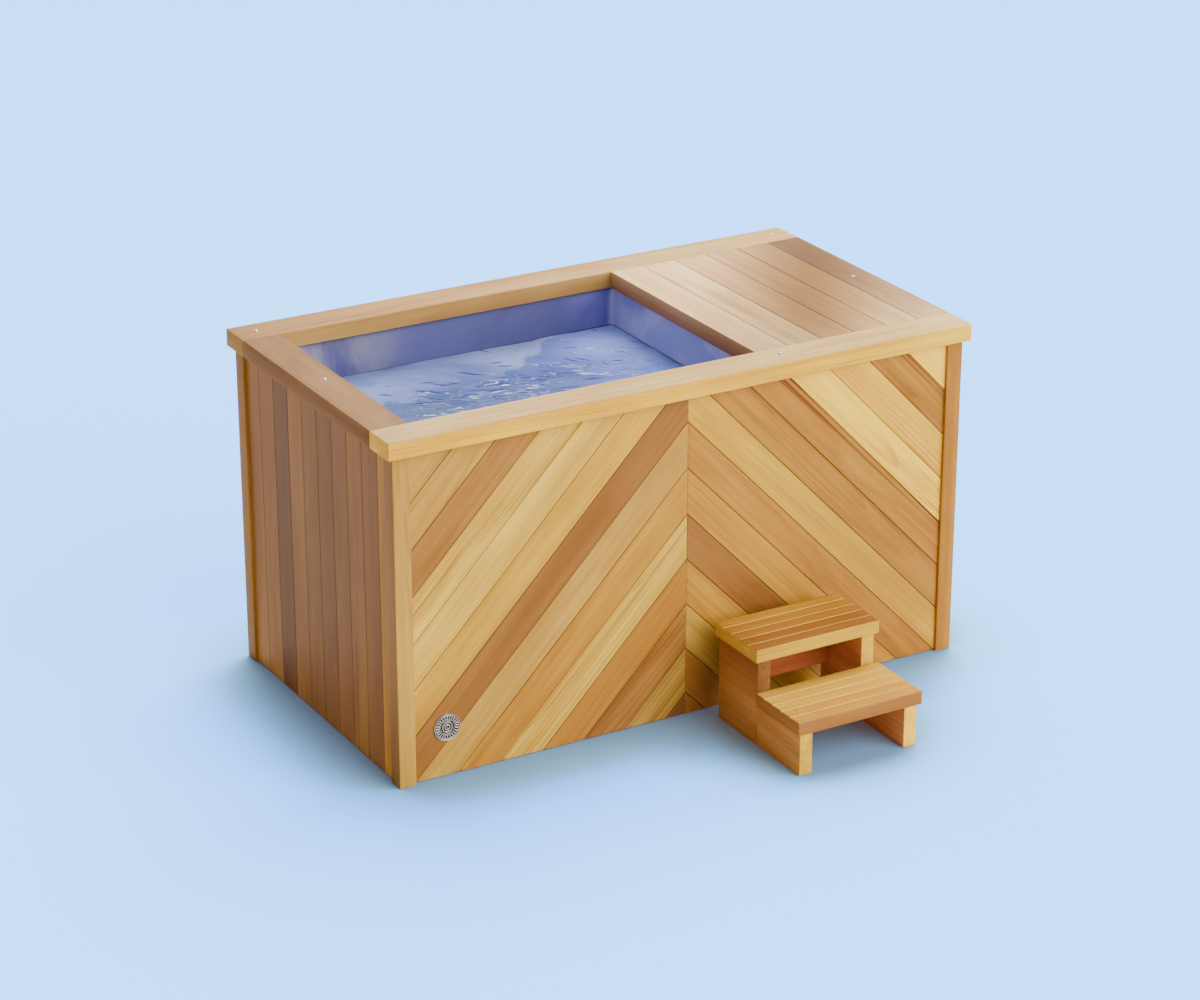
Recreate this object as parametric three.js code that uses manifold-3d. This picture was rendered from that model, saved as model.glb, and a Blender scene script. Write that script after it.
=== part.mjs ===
// Cold plunge tub with its step stool: a wood-clad tub with a moulded basin, a decked equipment bay
// with pump, filter and chiller, and a louvred access door on the bay's end.
// Millimetres, +Z up. The origin is on the floor under the middle of the tub, and the front faces -Y.
import * as THREE from "three";
import { mergeVertices } from "three/addons/utils/BufferGeometryUtils.js";
import Module from "manifold-3d";

const wasm = await Module();
wasm.setup();

// Tub
const tubWidth = 904;
const tubHeight = 900;
const openingLength = 956;
const deckLength = 584;

// Rim and deck
const rimThickness = 45;
const rimWidth = 100;
const rimOverhang = 16;
const boardRound = 4;
const deckPlankCount = 6;
const deckGap = 1.5;
const ledgerWidth = 90;
const ledgerHeight = 45;

// Posts and cladding
const postSize = 45;
const postRound = 2;
const boardThickness = 18;
const panelSetback = 8;
const panelFloorGap = 3;
const chevronPitch = 84;
const chevronAngle = THREE.MathUtils.degToRad(46);
const chevronFoot = 62;
const endBoardPitch = 82;
const firstEndBoard = 75;
const seamWidth = 3.6;
const seamDepth = 2.6;

// Base
const bearerWidth = 70;
const bearerHeight = 60;
const bearerInset = 220;
const basePanelThickness = 18;

// Basin and bulkhead
const basinWall = 8;
const basinReveal = 10;
const basinCorner = 14;
const basinFloorRound = 16;
const flangeThickness = 8;
const bulkheadThickness = 18;
const bulkheadSpace = 12;
const insulationThickness = 25;

// Clearances
const touch = 0.3;
const turning = 0.6;
const boardFit = 1;

// Water fittings and pipes
const sleeveRadius = 25;
const boreRadius = 18;
const boreDepth = 26;
const fittingFlangeRadius = 48;
const fittingFlangeThickness = 6;
const unionRadius = 33;
const unionLength = 22;
const bulkheadPipeSpace = 8;
const lowFittingSpace = 20;
const pipeRadius = 22;
const bendRadius = 38;
const pipeSides = 7;
const pipeStep = 14;
const returnHeight = 480;
const returnSide = 200;

// Pump
const pumpSide = 130;
const pumpInletSpace = 60;
const pumpInletLength = 30;
const voluteRadius = 75;
const voluteLength = 60;
const motorRadius = 55;
const motorLength = 180;
const pumpOutletHeight = 120;
const pumpFootThickness = 8;

// Filter
const filterRadius = 70;
const filterBodyHeight = 340;
const filterNeckRadius = 56;
const filterNeckHeight = 34;
const filterFootRadius = 78;
const filterFootThickness = 10;
const filterSpace = 24;
const filterFromBulkhead = 320;
const filterPortLength = 22;
const filterInletHeight = 280;
const filterOutletHeight = 315;
const capThickness = 10;
const capRadius = 66;
const capSkirt = 26;
const capLugRadius = 6;
const capLugCount = 8;

// Chiller
const chillerHeight = 430;
const chillerNearSide = 20;
const chillerFarSpace = 22;
const chillerPipeSpace = 120;
const chillerDoorSpace = 24;
const chillerRound = 14;
const chillerWall = 3;
const chillerFootHeight = 18;
const chillerFootRadius = 18;
const chillerFootInset = 40;
const chillerPortLength = 20;
const chillerPortHeight = 300;
const ventCount = 7;
const ventPitch = 22;
const ventHeight = 8;
const ventLength = 180;
const ductRadius = 118;
const ductDepth = 70;
const shroudLength = 48;
const motorBarWidth = 40;
const motorBarThickness = 12;
const motorBossRadius = 30;
const motorBossLength = 22;

// Fan and guard
const fanBladeCount = 5;
const fanTipSpace = 8;
const fanHubRadius = 27;
const fanHubLength = 22;
const fanHubSpace = 4;
const fanShaftRadius = 4;
const fanShaftGrip = 14;
const bladeThickness = 2.6;
const bladeRootWidth = 34;
const bladeTipWidth = 62;
const bladePitch = THREE.MathUtils.degToRad(28);
const guardWire = 2.5;
const guardRingCount = 3;
const guardSpokeCount = 3;
const guardHubRadius = 22;

// Drain valve
const drainFromWall = 92;
const valveBodyRadius = 27;
const valveBallRadius = 33;
const valveLength = 92;
const valveOutletRadius = 21;
const valveOutletLength = 26;
const valveOutletBore = 13;
const stemRadius = 6;
const stemCollarRadius = 11;
const stemCollarTop = 42;
const stemNutRadius = 10;
const stemNutHeight = 7;
const leverThickness = 6;
const leverHubRadius = 14;
const leverLength = 84;
const leverWidth = 18;

// Cable gland
const glandFromRight = 110;
const glandHeight = 130;
const glandRadius = 9;
const glandNutRadius = 14;
const glandNutLength = 8;
const glandDome = 8;
const glandBore = 4.5;

// Access door
const doorThickness = 30;
const doorGap = 5;
const doorTopGap = 4;
const doorFloorGap = 12;
const stileWidth = 82;
const railHeight = 90;
const louvreThickness = 8;
const louvreWidth = 32;
const louvrePitch = 40;
const louvreAngle = THREE.MathUtils.degToRad(42);
const louvreTenon = 8;
const louvreEndSpace = 22;

// Door hinge
const knuckleRadius = 4;
const knuckleCount = 11;
const knuckleGap = 0.8;
const hingePinRadius = 2;
const hingeLeafThickness = 2;
const hingeLeafWidth = 34;
const hingeLeafSpace = 1;
const hingeEndSpace = 30;

// Door latch
const latchFromEdge = 40;
const latchHeight = 450;
const latchRoseRadius = 22;
const latchRoseThickness = 4;
const latchGripLength = 46;
const latchGripWidth = 11;
const latchGripHeight = 9;
const latchSpindleRadius = 6;
const latchCamThickness = 6;
const latchCamSpace = 2;
const latchCamReach = 52;
const latchCamWidth = 18;

// Snap studs and medallion
const studInset = 57;
const studBaseRadius = 6;
const studBaseHeight = 1;
const studNeckRadius = 3.4;
const studHeadRadius = 4.6;
const studHeight = 4;
const medallionRadius = 35;
const medallionThickness = 4;
const medallionRim = 4;
const medallionDish = 1.2;
const medallionFromPost = 88;
const medallionHeight = 132;

// Step stool
const stoolCentre = 234;
const stoolGap = 42;
const treadLength = 360;
const treadDepth = 192;
const treadThickness = 35;
const lowerTreadTop = 147;
const upperTreadTop = 261;
const sideThickness = 36;
const sideInset = 10;
const treadNose = 8;
const stoolBackInset = 5;
const stretcherHeight = 130;
const treadGrooveCount = 4;
const treadGrooveWidth = 5;
const treadGrooveDepth = 3;

// Planes that pieces share
const tubLength = rimWidth + openingLength + deckLength;
const halfLength = tubLength / 2;
const halfWidth = tubWidth / 2;
const rimBottom = tubHeight - rimThickness;
const postOutX = halfLength - rimOverhang;
const postOutY = halfWidth - rimOverhang;
const postInX = postOutX - postSize;
const postInY = postOutY - postSize;
const panelFaceX = postOutX - panelSetback;
const panelFaceY = postOutY - panelSetback;
const panelBackX = panelFaceX - boardThickness;
const panelBackY = panelFaceY - boardThickness;
const openingLeft = -halfLength + rimWidth;
const openingRight = openingLeft + openingLength;
const openingY = halfWidth - rimWidth;
const baseTop = bearerHeight + basePanelThickness;
const basinLeft = openingLeft - basinReveal;
const basinRight = openingRight + basinReveal;
const basinY = openingY + basinReveal;
const basinOuterLeft = basinLeft - basinWall;
const basinOuterRight = basinRight + basinWall;
const basinOuterY = basinY + basinWall;
const bulkheadLeft = basinOuterRight + bulkheadSpace;
const bulkheadRight = bulkheadLeft + bulkheadThickness;
const unionEnd = bulkheadRight + touch + unionLength;
const doorBack = postOutX - doorThickness;
const doorHalf = postInY - doorGap;
const doorTop = rimBottom - doorTopGap;

// Finishes
const finishes = {
  rimWood: { color: 0xd6bb92, roughness: 0.55, metalness: 0 },
  boardWood: { color: 0xcf9a55, roughness: 0.5, metalness: 0 },
  shadeWood: { color: 0x9a6a45, roughness: 0.55, metalness: 0 },
  roughWood: { color: 0xb58f63, roughness: 0.8, metalness: 0 },
  plywood: { color: 0xc4a678, roughness: 0.8, metalness: 0 },
  liner: { color: 0x5560a8, roughness: 0.35, metalness: 0 },
  foam: { color: 0xe9e4d4, roughness: 0.95, metalness: 0 },
  pipe: { color: 0xe6e7e6, roughness: 0.45, metalness: 0 },
  fitting: { color: 0xdfe3e8, roughness: 0.4, metalness: 0 },
  darkPlastic: { color: 0x2b2e33, roughness: 0.5, metalness: 0 },
  filterBlue: { color: 0x27436b, roughness: 0.4, metalness: 0 },
  casing: { color: 0xd8dade, roughness: 0.45, metalness: 0.3 },
  brass: { color: 0xb9913f, roughness: 0.35, metalness: 1 },
  steel: { color: 0xc3c6ca, roughness: 0.3, metalness: 1 },
  silver: { color: 0xcfcfd2, roughness: 0.35, metalness: 1 },
};

const tub = new THREE.Group();

function add(parent, name, geometry, finish) {
  const mesh = new THREE.Mesh(geometry, new THREE.MeshStandardMaterial(finish));
  mesh.name = name;
  parent.add(mesh);
}

function groupAt(x, y, z) {
  const group = new THREE.Group();
  group.position.set(x, y, z);
  tub.add(group);
  return group;
}

// Solids and booleans
function toSolid(geometry) {
  const bare = geometry.clone();
  bare.deleteAttribute("normal");
  bare.deleteAttribute("uv");
  const merged = mergeVertices(bare, 1e-3);
  const mesh = { numProp: 3, vertProperties: merged.attributes.position.array };
  mesh.triVerts = new Uint32Array(merged.index.array);
  return new wasm.Manifold(new wasm.Mesh(mesh));
}

function toGeometry(solid) {
  const mesh = solid.getMesh();
  const geometry = new THREE.BufferGeometry();
  geometry.setAttribute("position", new THREE.BufferAttribute(mesh.vertProperties, 3));
  geometry.setIndex(new THREE.BufferAttribute(mesh.triVerts, 1));
  return geometry;
}

function join(...geometries) {
  return toGeometry(geometries.map(toSolid).reduce((all, next) => all.add(next)));
}

function cut(body, ...tools) {
  return toGeometry(tools.map(toSolid).reduce((rest, tool) => rest.subtract(tool), toSolid(body)));
}

// Basic forms: a block between planes, a profile carried along an axis, and a revolved profile
function block([x0, x1], [y0, y1], [z0, z1]) {
  const geometry = new THREE.BoxGeometry(x1 - x0, y1 - y0, z1 - z0);
  return geometry.translate((x0 + x1) / 2, (y0 + y1) / 2, (z0 + z1) / 2);
}

const axisX = new THREE.Vector3(1, 0, 0);
const axisY = new THREE.Vector3(0, 1, 0);
const axisZ = new THREE.Vector3(0, 0, 1);

// The profile is drawn in (y, z) for an x bar, in (x, z) for a y bar and in (x, y) for a z bar.
function carry(axis, shape, from, to, curveSegments = 1) {
  const geometry = new THREE.ExtrudeGeometry(shape, { depth: to - from, bevelEnabled: false, curveSegments });
  const turn = new THREE.Matrix4();
  if (axis === "x") {
    turn.makeBasis(axisY, axisZ, axisX).setPosition(from, 0, 0);
  } else if (axis === "y") {
    turn.makeBasis(axisX, axisZ, axisY.clone().negate()).setPosition(0, to, 0);
  } else {
    turn.setPosition(0, 0, from);
  }
  return geometry.applyMatrix4(turn);
}

function roundedRectangle([u0, u1], [v0, v1], radius) {
  const shape = new THREE.Shape();
  shape.moveTo(u0 + radius, v0);
  shape.lineTo(u1 - radius, v0);
  shape.absarc(u1 - radius, v0 + radius, radius, -Math.PI / 2, 0);
  shape.lineTo(u1, v1 - radius);
  shape.absarc(u1 - radius, v1 - radius, radius, 0, Math.PI / 2);
  shape.lineTo(u0 + radius, v1);
  shape.absarc(u0 + radius, v1 - radius, radius, Math.PI / 2, Math.PI);
  shape.lineTo(u0, v0 + radius);
  shape.absarc(u0 + radius, v0 + radius, radius, Math.PI, 1.5 * Math.PI);
  return shape;
}

function polygon(points) {
  return new THREE.Shape(points.map(([u, v]) => new THREE.Vector2(u, v)));
}

// Points are (radius, distance along the axis), rising along the outside.
function revolve(axis, points, segments = 20) {
  const geometry = new THREE.LatheGeometry(
    points.map(([radius, along]) => new THREE.Vector2(radius, along)),
    segments,
  );
  if (axis === "x") {
    geometry.rotateZ(-Math.PI / 2);
  } else if (axis === "z") {
    geometry.rotateX(Math.PI / 2);
  }
  return geometry;
}

function rod(axis, radius, from, to, segments = 20) {
  const profile = [
    [0, from],
    [radius, from],
    [radius, to],
    [0, to],
  ];
  return revolve(axis, profile, segments);
}

// A pipe through corner points, with every corner rounded to the bend radius
function pipe(corners) {
  const points = corners.map(([x, y, z]) => new THREE.Vector3(x, y, z));
  const path = new THREE.CurvePath();
  let start = points[0];
  for (let i = 1; i < points.length - 1; i += 1) {
    const before = points[i].clone().lerp(points[i - 1], bendRadius / points[i].distanceTo(points[i - 1]));
    const after = points[i].clone().lerp(points[i + 1], bendRadius / points[i].distanceTo(points[i + 1]));
    path.add(new THREE.LineCurve3(start, before));
    path.add(new THREE.QuadraticBezierCurve3(before, points[i], after));
    start = after;
  }
  path.add(new THREE.LineCurve3(start, points[points.length - 1]));
  const steps = points.length === 2 ? 1 : Math.ceil(path.getLength() / pipeStep);
  const section = new THREE.Shape();
  section.absarc(0, 0, pipeRadius, 0, 2 * Math.PI);
  return new THREE.ExtrudeGeometry(section, { steps, extrudePath: path, curveSegments: pipeSides });
}

// Corner posts and the base they stand around
function buildPosts() {
  const places = {
    post_front_left: [-1, -1],
    post_front_right: [1, -1],
    post_back_left: [-1, 1],
    post_back_right: [1, 1],
  };
  for (const [name, [sideX, sideY]] of Object.entries(places)) {
    const spanX = [sideX * postInX, sideX * postOutX].sort((a, b) => a - b);
    const spanY = [sideY * postInY, sideY * postOutY].sort((a, b) => a - b);
    add(tub, name, carry("z", roundedRectangle(spanX, spanY, postRound), 0, rimBottom), finishes.boardWood);
  }
}

function buildBase() {
  const reach = halfLength - bearerInset;
  const bearers = { bearer_left: -reach, bearer_centre: 0, bearer_right: reach };
  for (const [name, x] of Object.entries(bearers)) {
    const section = roundedRectangle([x - bearerWidth / 2, x + bearerWidth / 2], [0, bearerHeight], postRound);
    add(tub, name, carry("y", section, -panelBackY + boardFit, panelBackY - boardFit), finishes.roughWood);
  }
  const notchX = postInX - boardFit;
  const notchY = postInY - boardFit;
  const right = doorBack - boardFit;
  const outline = polygon([
    [-notchX, -panelBackY],
    [notchX, -panelBackY],
    [notchX, -notchY],
    [right, -notchY],
    [right, notchY],
    [notchX, notchY],
    [notchX, panelBackY],
    [-notchX, panelBackY],
    [-notchX, notchY],
    [-panelBackX, notchY],
    [-panelBackX, -notchY],
    [-notchX, -notchY],
  ]);
  add(tub, "base_panel", carry("z", outline, bearerHeight, baseTop), finishes.plywood);
}

// A V-shaped seam between two tongue-and-groove boards, as a long three-sided bar
function seamBar(length) {
  const half = seamWidth / 2;
  const section = polygon([
    [-2 * half, -seamDepth],
    [2 * half, -seamDepth],
    [0, seamDepth],
  ]);
  return new THREE.ExtrudeGeometry(section, { depth: length, bevelEnabled: false });
}

// Front half: diagonal boards that fall away from the centre line, mitred there against the other half
function frontBoards(side) {
  const spanX = [Math.min(0, side * postInX), Math.max(0, side * postInX)];
  const slab = block(spanX, [-panelFaceY, -panelBackY], [panelFloorGap, rimBottom]);
  const along = new THREE.Vector3(side * Math.cos(chevronAngle), 0, -Math.sin(chevronAngle));
  const across = new THREE.Vector3().crossVectors(axisY, along);
  const rise = chevronPitch / Math.cos(chevronAngle);
  const reach = postInX / Math.cos(chevronAngle);
  const fall = postInX * Math.tan(chevronAngle);
  const seams = [];
  for (let peak = chevronFoot; peak - fall < rimBottom; peak += rise) {
    const turn = new THREE.Matrix4().makeBasis(across, axisY, along);
    turn.setPosition(0, -panelFaceY, peak);
    seams.push(seamBar(reach + chevronPitch).applyMatrix4(turn));
  }
  const mitre = new THREE.Matrix4().makeBasis(axisX, axisY, axisZ);
  mitre.setPosition(0, -panelFaceY, 0);
  seams.push(seamBar(tubHeight).applyMatrix4(mitre));
  return cut(slab, ...seams);
}

// Upright boards on a wall whose face looks along the given outward direction
function uprightSeams(outward, face, places) {
  const inward = outward.clone().negate();
  const across = new THREE.Vector3().crossVectors(inward, axisZ);
  return places.map((place) => {
    const turn = new THREE.Matrix4().makeBasis(across, inward, axisZ);
    turn.setPosition(outward.clone().multiplyScalar(face).addScaledVector(across, place));
    return seamBar(tubHeight).applyMatrix4(turn);
  });
}

function seamPlaces(from, to, first, pitch) {
  const places = [];
  for (let place = from + first; place < to - seamWidth; place += pitch) {
    places.push(place);
  }
  return places;
}

function buildCladding() {
  add(tub, "front_boards_left", frontBoards(-1), finishes.boardWood);
  add(tub, "front_boards_right", frontBoards(1), finishes.boardWood);

  const endSlab = block([-panelFaceX, -panelBackX], [-postInY, postInY], [panelFloorGap, rimBottom]);
  const endPlaces = seamPlaces(-postInY, postInY, firstEndBoard, endBoardPitch);
  const endSeams = uprightSeams(new THREE.Vector3(-1, 0, 0), panelFaceX, endPlaces);
  add(tub, "left_end_boards", cut(endSlab, ...endSeams), finishes.shadeWood);

  const backSlab = block([-postInX, postInX], [panelBackY, panelFaceY], [panelFloorGap, rimBottom]);
  const backPlaces = seamPlaces(-postInX, postInX, firstEndBoard, endBoardPitch);
  const backSeams = uprightSeams(axisY, panelFaceY, backPlaces);
  const glandHole = rod("y", glandRadius + touch, panelBackY - boardThickness, panelFaceY + boardThickness);
  glandHole.translate(postInX - glandFromRight, 0, glandHeight);
  add(tub, "back_boards", cut(backSlab, ...backSeams, glandHole), finishes.shadeWood);
}

// Rim rails round the opening, deck planks over the bay, and the ledgers under the planks' ends
function buildRim() {
  const level = [rimBottom, tubHeight];
  const front = roundedRectangle([-halfWidth, -openingY], level, boardRound);
  const back = roundedRectangle([openingY, halfWidth], level, boardRound);
  const left = roundedRectangle([-halfLength, openingLeft], level, boardRound);
  add(tub, "rim_front", carry("x", front, -halfLength, halfLength), finishes.rimWood);
  add(tub, "rim_back", carry("x", back, -halfLength, halfLength), finishes.rimWood);
  add(tub, "rim_left", carry("y", left, -openingY, openingY), finishes.rimWood);

  const pitch = deckLength / deckPlankCount;
  for (let i = 0; i < deckPlankCount; i += 1) {
    const from = openingRight + i * pitch + (i ? deckGap : 0);
    const plank = roundedRectangle([from, openingRight + (i + 1) * pitch], level, boardRound);
    add(tub, `deck_plank_${i + 1}`, carry("y", plank, -openingY, openingY), finishes.rimWood);
  }

  const ledgerLevel = [rimBottom - ledgerHeight, rimBottom];
  for (const [name, side] of Object.entries({ deck_ledger_front: -1, deck_ledger_back: 1 })) {
    const span = [side * (panelBackY - ledgerWidth), side * panelBackY].sort((a, b) => a - b);
    const section = roundedRectangle(span, ledgerLevel, postRound);
    add(tub, name, carry("x", section, bulkheadRight + touch, postInX), finishes.roughWood);
  }
}

// One ring of a rounded rectangle, running anticlockwise seen from above
function ring([x0, x1], [y0, y1], radius, z, cornerSteps = 4) {
  const centres = [
    [x1 - radius, y1 - radius],
    [x0 + radius, y1 - radius],
    [x0 + radius, y0 + radius],
    [x1 - radius, y0 + radius],
  ];
  return centres.flatMap(([x, y], quarter) => {
    const points = [];
    for (let i = 0; i <= cornerSteps; i += 1) {
      const angle = ((quarter + i / cornerSteps) * Math.PI) / 2;
      points.push(new THREE.Vector3(x + radius * Math.cos(angle), y + radius * Math.sin(angle), z));
    }
    return points;
  });
}

// A skin through rings of equal count, closed by a flat face on the first ring and one on the last
function loft(rings) {
  const count = rings[0].length;
  const faces = [];
  for (let level = 0; level + 1 < rings.length; level += 1) {
    for (let i = 0; i < count; i += 1) {
      const here = level * count + i;
      const next = level * count + ((i + 1) % count);
      faces.push(here, next, next + count, here, next + count, here + count);
    }
  }
  const last = (rings.length - 1) * count;
  for (let i = 1; i + 1 < count; i += 1) {
    faces.push(0, i + 1, i, last, last + i, last + i + 1);
  }
  const geometry = new THREE.BufferGeometry().setFromPoints(rings.flat());
  return geometry.setIndex(faces);
}

// Moulded basin: outer wall up to its flange, over the rim and down the inner wall to the coved floor
function basinShell() {
  const outerX = [basinOuterLeft, basinOuterRight];
  const outerY = [-basinOuterY, basinOuterY];
  const innerX = [basinLeft, basinRight];
  const innerY = [-basinY, basinY];
  const flangeX = [-postInX + boardFit, bulkheadRight - boardFit];
  const flangeY = [-postInY + boardFit, postInY - boardFit];
  const outerCorner = basinCorner + basinWall;
  const outerRound = basinFloorRound + basinWall;
  const flangeCorner = Math.min(outerCorner, boardRound);
  const shrink = (span, inset) => [span[0] + inset, span[1] - inset];
  const cove = (spanX, spanY, corner, round, floor, up) => {
    const steps = [0, 1, 2, 3, 4].map((i) => (i / 4) * (Math.PI / 2));
    const rings = steps.map((angle) => {
      const inset = round * (1 - Math.sin(angle));
      const z = floor + round * (1 - Math.cos(angle));
      return ring(shrink(spanX, inset), shrink(spanY, inset), Math.max(corner - inset, 1), z);
    });
    return up ? rings : rings.reverse();
  };
  return loft([
    ...cove(outerX, outerY, outerCorner, outerRound, baseTop, true),
    ring(outerX, outerY, outerCorner, rimBottom - flangeThickness),
    ring(flangeX, flangeY, flangeCorner, rimBottom - flangeThickness),
    ring(flangeX, flangeY, flangeCorner, rimBottom),
    ring(innerX, innerY, basinCorner, rimBottom),
    ...cove(innerX, innerY, basinCorner, basinFloorRound, baseTop + basinWall, false),
  ]);
}

// Heights and sides of the three water fittings on the basin's bay wall
const coveTop = baseTop + basinWall + basinFloorRound;
const lowFitting = coveTop + lowFittingSpace + fittingFlangeRadius;
const suctionPlace = { y: -pumpSide, z: lowFitting };
const returnPlace = { y: returnSide, z: baseTop + returnHeight };
const drainPlace = { y: drainFromWall - basinY, z: lowFitting };

function wallHoles(radius, from, to) {
  return [suctionPlace, returnPlace, drainPlace].map((place) =>
    rod("x", radius, from, to).translate(0, place.y, place.z),
  );
}

function buildBasin() {
  const holes = wallHoles(sleeveRadius + touch, basinRight - basinWall, basinOuterRight + basinWall);
  add(tub, "basin", cut(basinShell(), ...holes), finishes.liner);

  const level = [baseTop + touch, rimBottom - flangeThickness - touch];
  const spanX = [basinOuterLeft, bulkheadLeft - touch];
  const inner = basinOuterY + touch;
  const outer = inner + insulationThickness;
  add(tub, "insulation_front", block(spanX, [-outer, -inner], level), finishes.foam);
  add(tub, "insulation_back", block(spanX, [inner, outer], level), finishes.foam);
  const endSpan = [-basinOuterY, basinOuterY];
  const endX = [basinOuterLeft - touch - insulationThickness, basinOuterLeft - touch];
  add(tub, "insulation_left", block(endX, endSpan, level), finishes.foam);

  // Two boards across the tub brace the basin's bay wall, clear of the fittings
  const besideUnion = unionRadius + bulkheadPipeSpace;
  const boardLevels = {
    bulkhead_lower: [lowFitting + besideUnion, returnPlace.z - besideUnion],
    bulkhead_upper: [returnPlace.z + besideUnion, level[1]],
  };
  for (const [name, boardLevel] of Object.entries(boardLevels)) {
    const spanY = [-panelBackY + touch, panelBackY - touch];
    add(tub, name, block([bulkheadLeft, bulkheadRight], spanY, boardLevel), finishes.plywood);
  }
}

// A flanged nozzle through the basin wall, with its union collar behind the wall
function fittingProfile() {
  const inside = basinRight - fittingFlangeThickness;
  const edge = fittingFlangeThickness / 2;
  return [
    [0, inside + boreDepth],
    [boreRadius, inside + boreDepth],
    [boreRadius, inside],
    [fittingFlangeRadius - edge, inside],
    [fittingFlangeRadius, inside + edge],
    [fittingFlangeRadius, basinRight - touch],
    [sleeveRadius, basinRight - touch],
    [sleeveRadius, basinOuterRight + touch],
    [unionRadius, basinOuterRight + touch],
    [unionRadius, unionEnd],
    [0, unionEnd],
  ];
}

function suctionFitting() {
  const inside = basinRight - fittingFlangeThickness;
  const bars = [axisY, axisZ].map((axis) => {
    const wide = sleeveRadius;
    const thin = fittingFlangeThickness / 2;
    const y = axis === axisY ? wide : thin;
    const z = axis === axisZ ? wide : thin;
    return block([inside, inside + fittingFlangeThickness], [-y, y], [-z, z]);
  });
  return join(revolve("x", fittingProfile()), ...bars);
}

function buildFittings() {
  const plain = revolve("x", fittingProfile());
  const at = (geometry, place) => geometry.translate(0, place.y, place.z);
  add(tub, "suction_fitting", at(suctionFitting(), suctionPlace), finishes.fitting);
  add(tub, "return_fitting", at(plain.clone(), returnPlace), finishes.fitting);
  add(tub, "drain_fitting", at(plain.clone(), drainPlace), finishes.fitting);
}

// Pump: volute with its inlet towards the basin and its outlet upwards, motor behind, on a foot plate
const pumpInletFace = unionEnd + pumpInletSpace;
const voluteFront = pumpInletFace + pumpInletLength;
const voluteMiddle = voluteFront + voluteLength / 2;
const motorFront = voluteFront + voluteLength;
const pumpOutletTop = suctionPlace.z + pumpOutletHeight;

function buildPump() {
  const motorEnd = motorFront + motorLength;
  const edge = 8;
  const fin = 4;
  const finPitch = 32;
  const body = [
    [0, pumpInletFace],
    [pipeRadius + edge / 2, pumpInletFace],
    [pipeRadius + edge / 2, voluteFront],
    [voluteRadius - edge, voluteFront],
    [voluteRadius, voluteFront + edge],
    [voluteRadius, motorFront - edge],
    [voluteRadius - edge, motorFront],
    [motorRadius - fin, motorFront],
  ];
  for (let x = motorFront + finPitch; x + 2 * finPitch < motorEnd; x += finPitch) {
    body.push([motorRadius - fin, x], [motorRadius, x], [motorRadius, x + fin], [motorRadius - fin, x + fin]);
  }
  body.push([motorRadius - fin, motorEnd - edge], [motorRadius - 2 * edge, motorEnd], [0, motorEnd]);
  const machine = revolve("x", body).translate(0, suctionPlace.y, suctionPlace.z);
  const outlet = rod("z", pipeRadius + edge / 2, suctionPlace.z, pumpOutletTop);
  outlet.translate(voluteMiddle, suctionPlace.y, 0);
  const footSpan = [suctionPlace.y - motorRadius, suctionPlace.y + motorRadius];
  const footTop = baseTop + touch + pumpFootThickness;
  const foot = block([voluteFront, motorEnd - 3 * edge], footSpan, [baseTop + touch, footTop]);
  const webSpan = [suctionPlace.y - motorRadius / 2, suctionPlace.y + motorRadius / 2];
  const web = block([motorFront + edge, motorEnd - 4 * edge], webSpan, [footTop - edge / 2, suctionPlace.z]);
  add(tub, "pump", join(machine, outlet, foot, web), finishes.darkPlastic);
  const suction = [
    [unionEnd + touch, suctionPlace.y, suctionPlace.z],
    [pumpInletFace - touch, suctionPlace.y, suctionPlace.z],
  ];
  add(tub, "suction_pipe", pipe(suction), finishes.pipe);
}

// Filter canister on a round foot, with a neck under its bayonet cap
const filterX = bulkheadRight + filterFromBulkhead;
const filterY = -(panelBackY - filterSpace - filterFootRadius);
const filterInletFace = filterX - filterRadius - filterPortLength;
const filterOutletFace = filterY + filterRadius + filterPortLength;

function buildFilter() {
  const filter = groupAt(filterX, filterY, baseTop + touch);
  const shoulder = filterRadius - filterNeckRadius;
  const neckTop = filterBodyHeight + filterNeckHeight;
  const canister = revolve(
    "z",
    [
      [0, 0],
      [filterFootRadius, 0],
      [filterFootRadius, filterFootThickness],
      [filterRadius, filterFootThickness],
      [filterRadius, filterBodyHeight - shoulder],
      [filterNeckRadius, filterBodyHeight],
      [filterNeckRadius, neckTop],
      [0, neckTop],
    ],
    32,
  );
  const portRadius = pipeRadius + touch;
  const inlet = rod("x", portRadius, -filterRadius - filterPortLength, 0).translate(0, 0, filterInletHeight);
  const outlet = rod("y", portRadius, 0, filterRadius + filterPortLength).translate(0, 0, filterOutletHeight);
  add(filter, "filter_canister", join(canister, inlet, outlet), finishes.filterBlue);

  const skirtFoot = neckTop + touch - capSkirt;
  const capTop = neckTop + touch + capThickness;
  const cap = revolve(
    "z",
    [
      [0, neckTop + touch],
      [filterNeckRadius + turning, neckTop + touch],
      [filterNeckRadius + turning, skirtFoot],
      [capRadius, skirtFoot],
      [capRadius, capTop - boardRound],
      [capRadius - boardRound, capTop],
      [0, capTop],
    ],
    32,
  );
  const lugs = [];
  for (let i = 0; i < capLugCount; i += 1) {
    const angle = (i / capLugCount) * 2 * Math.PI;
    const lug = rod("z", capLugRadius, skirtFoot, capTop - boardRound, 8);
    lugs.push(lug.translate(capRadius * Math.cos(angle), capRadius * Math.sin(angle), 0));
  }
  const grip = block([-capRadius + boardRound, capRadius - boardRound], [-capLugRadius, capLugRadius], [
    capTop - boardRound,
    capTop + 2 * capLugRadius,
  ]);
  add(filter, "filter_cap", join(cap, ...lugs, grip), finishes.darkPlastic);
}

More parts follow.
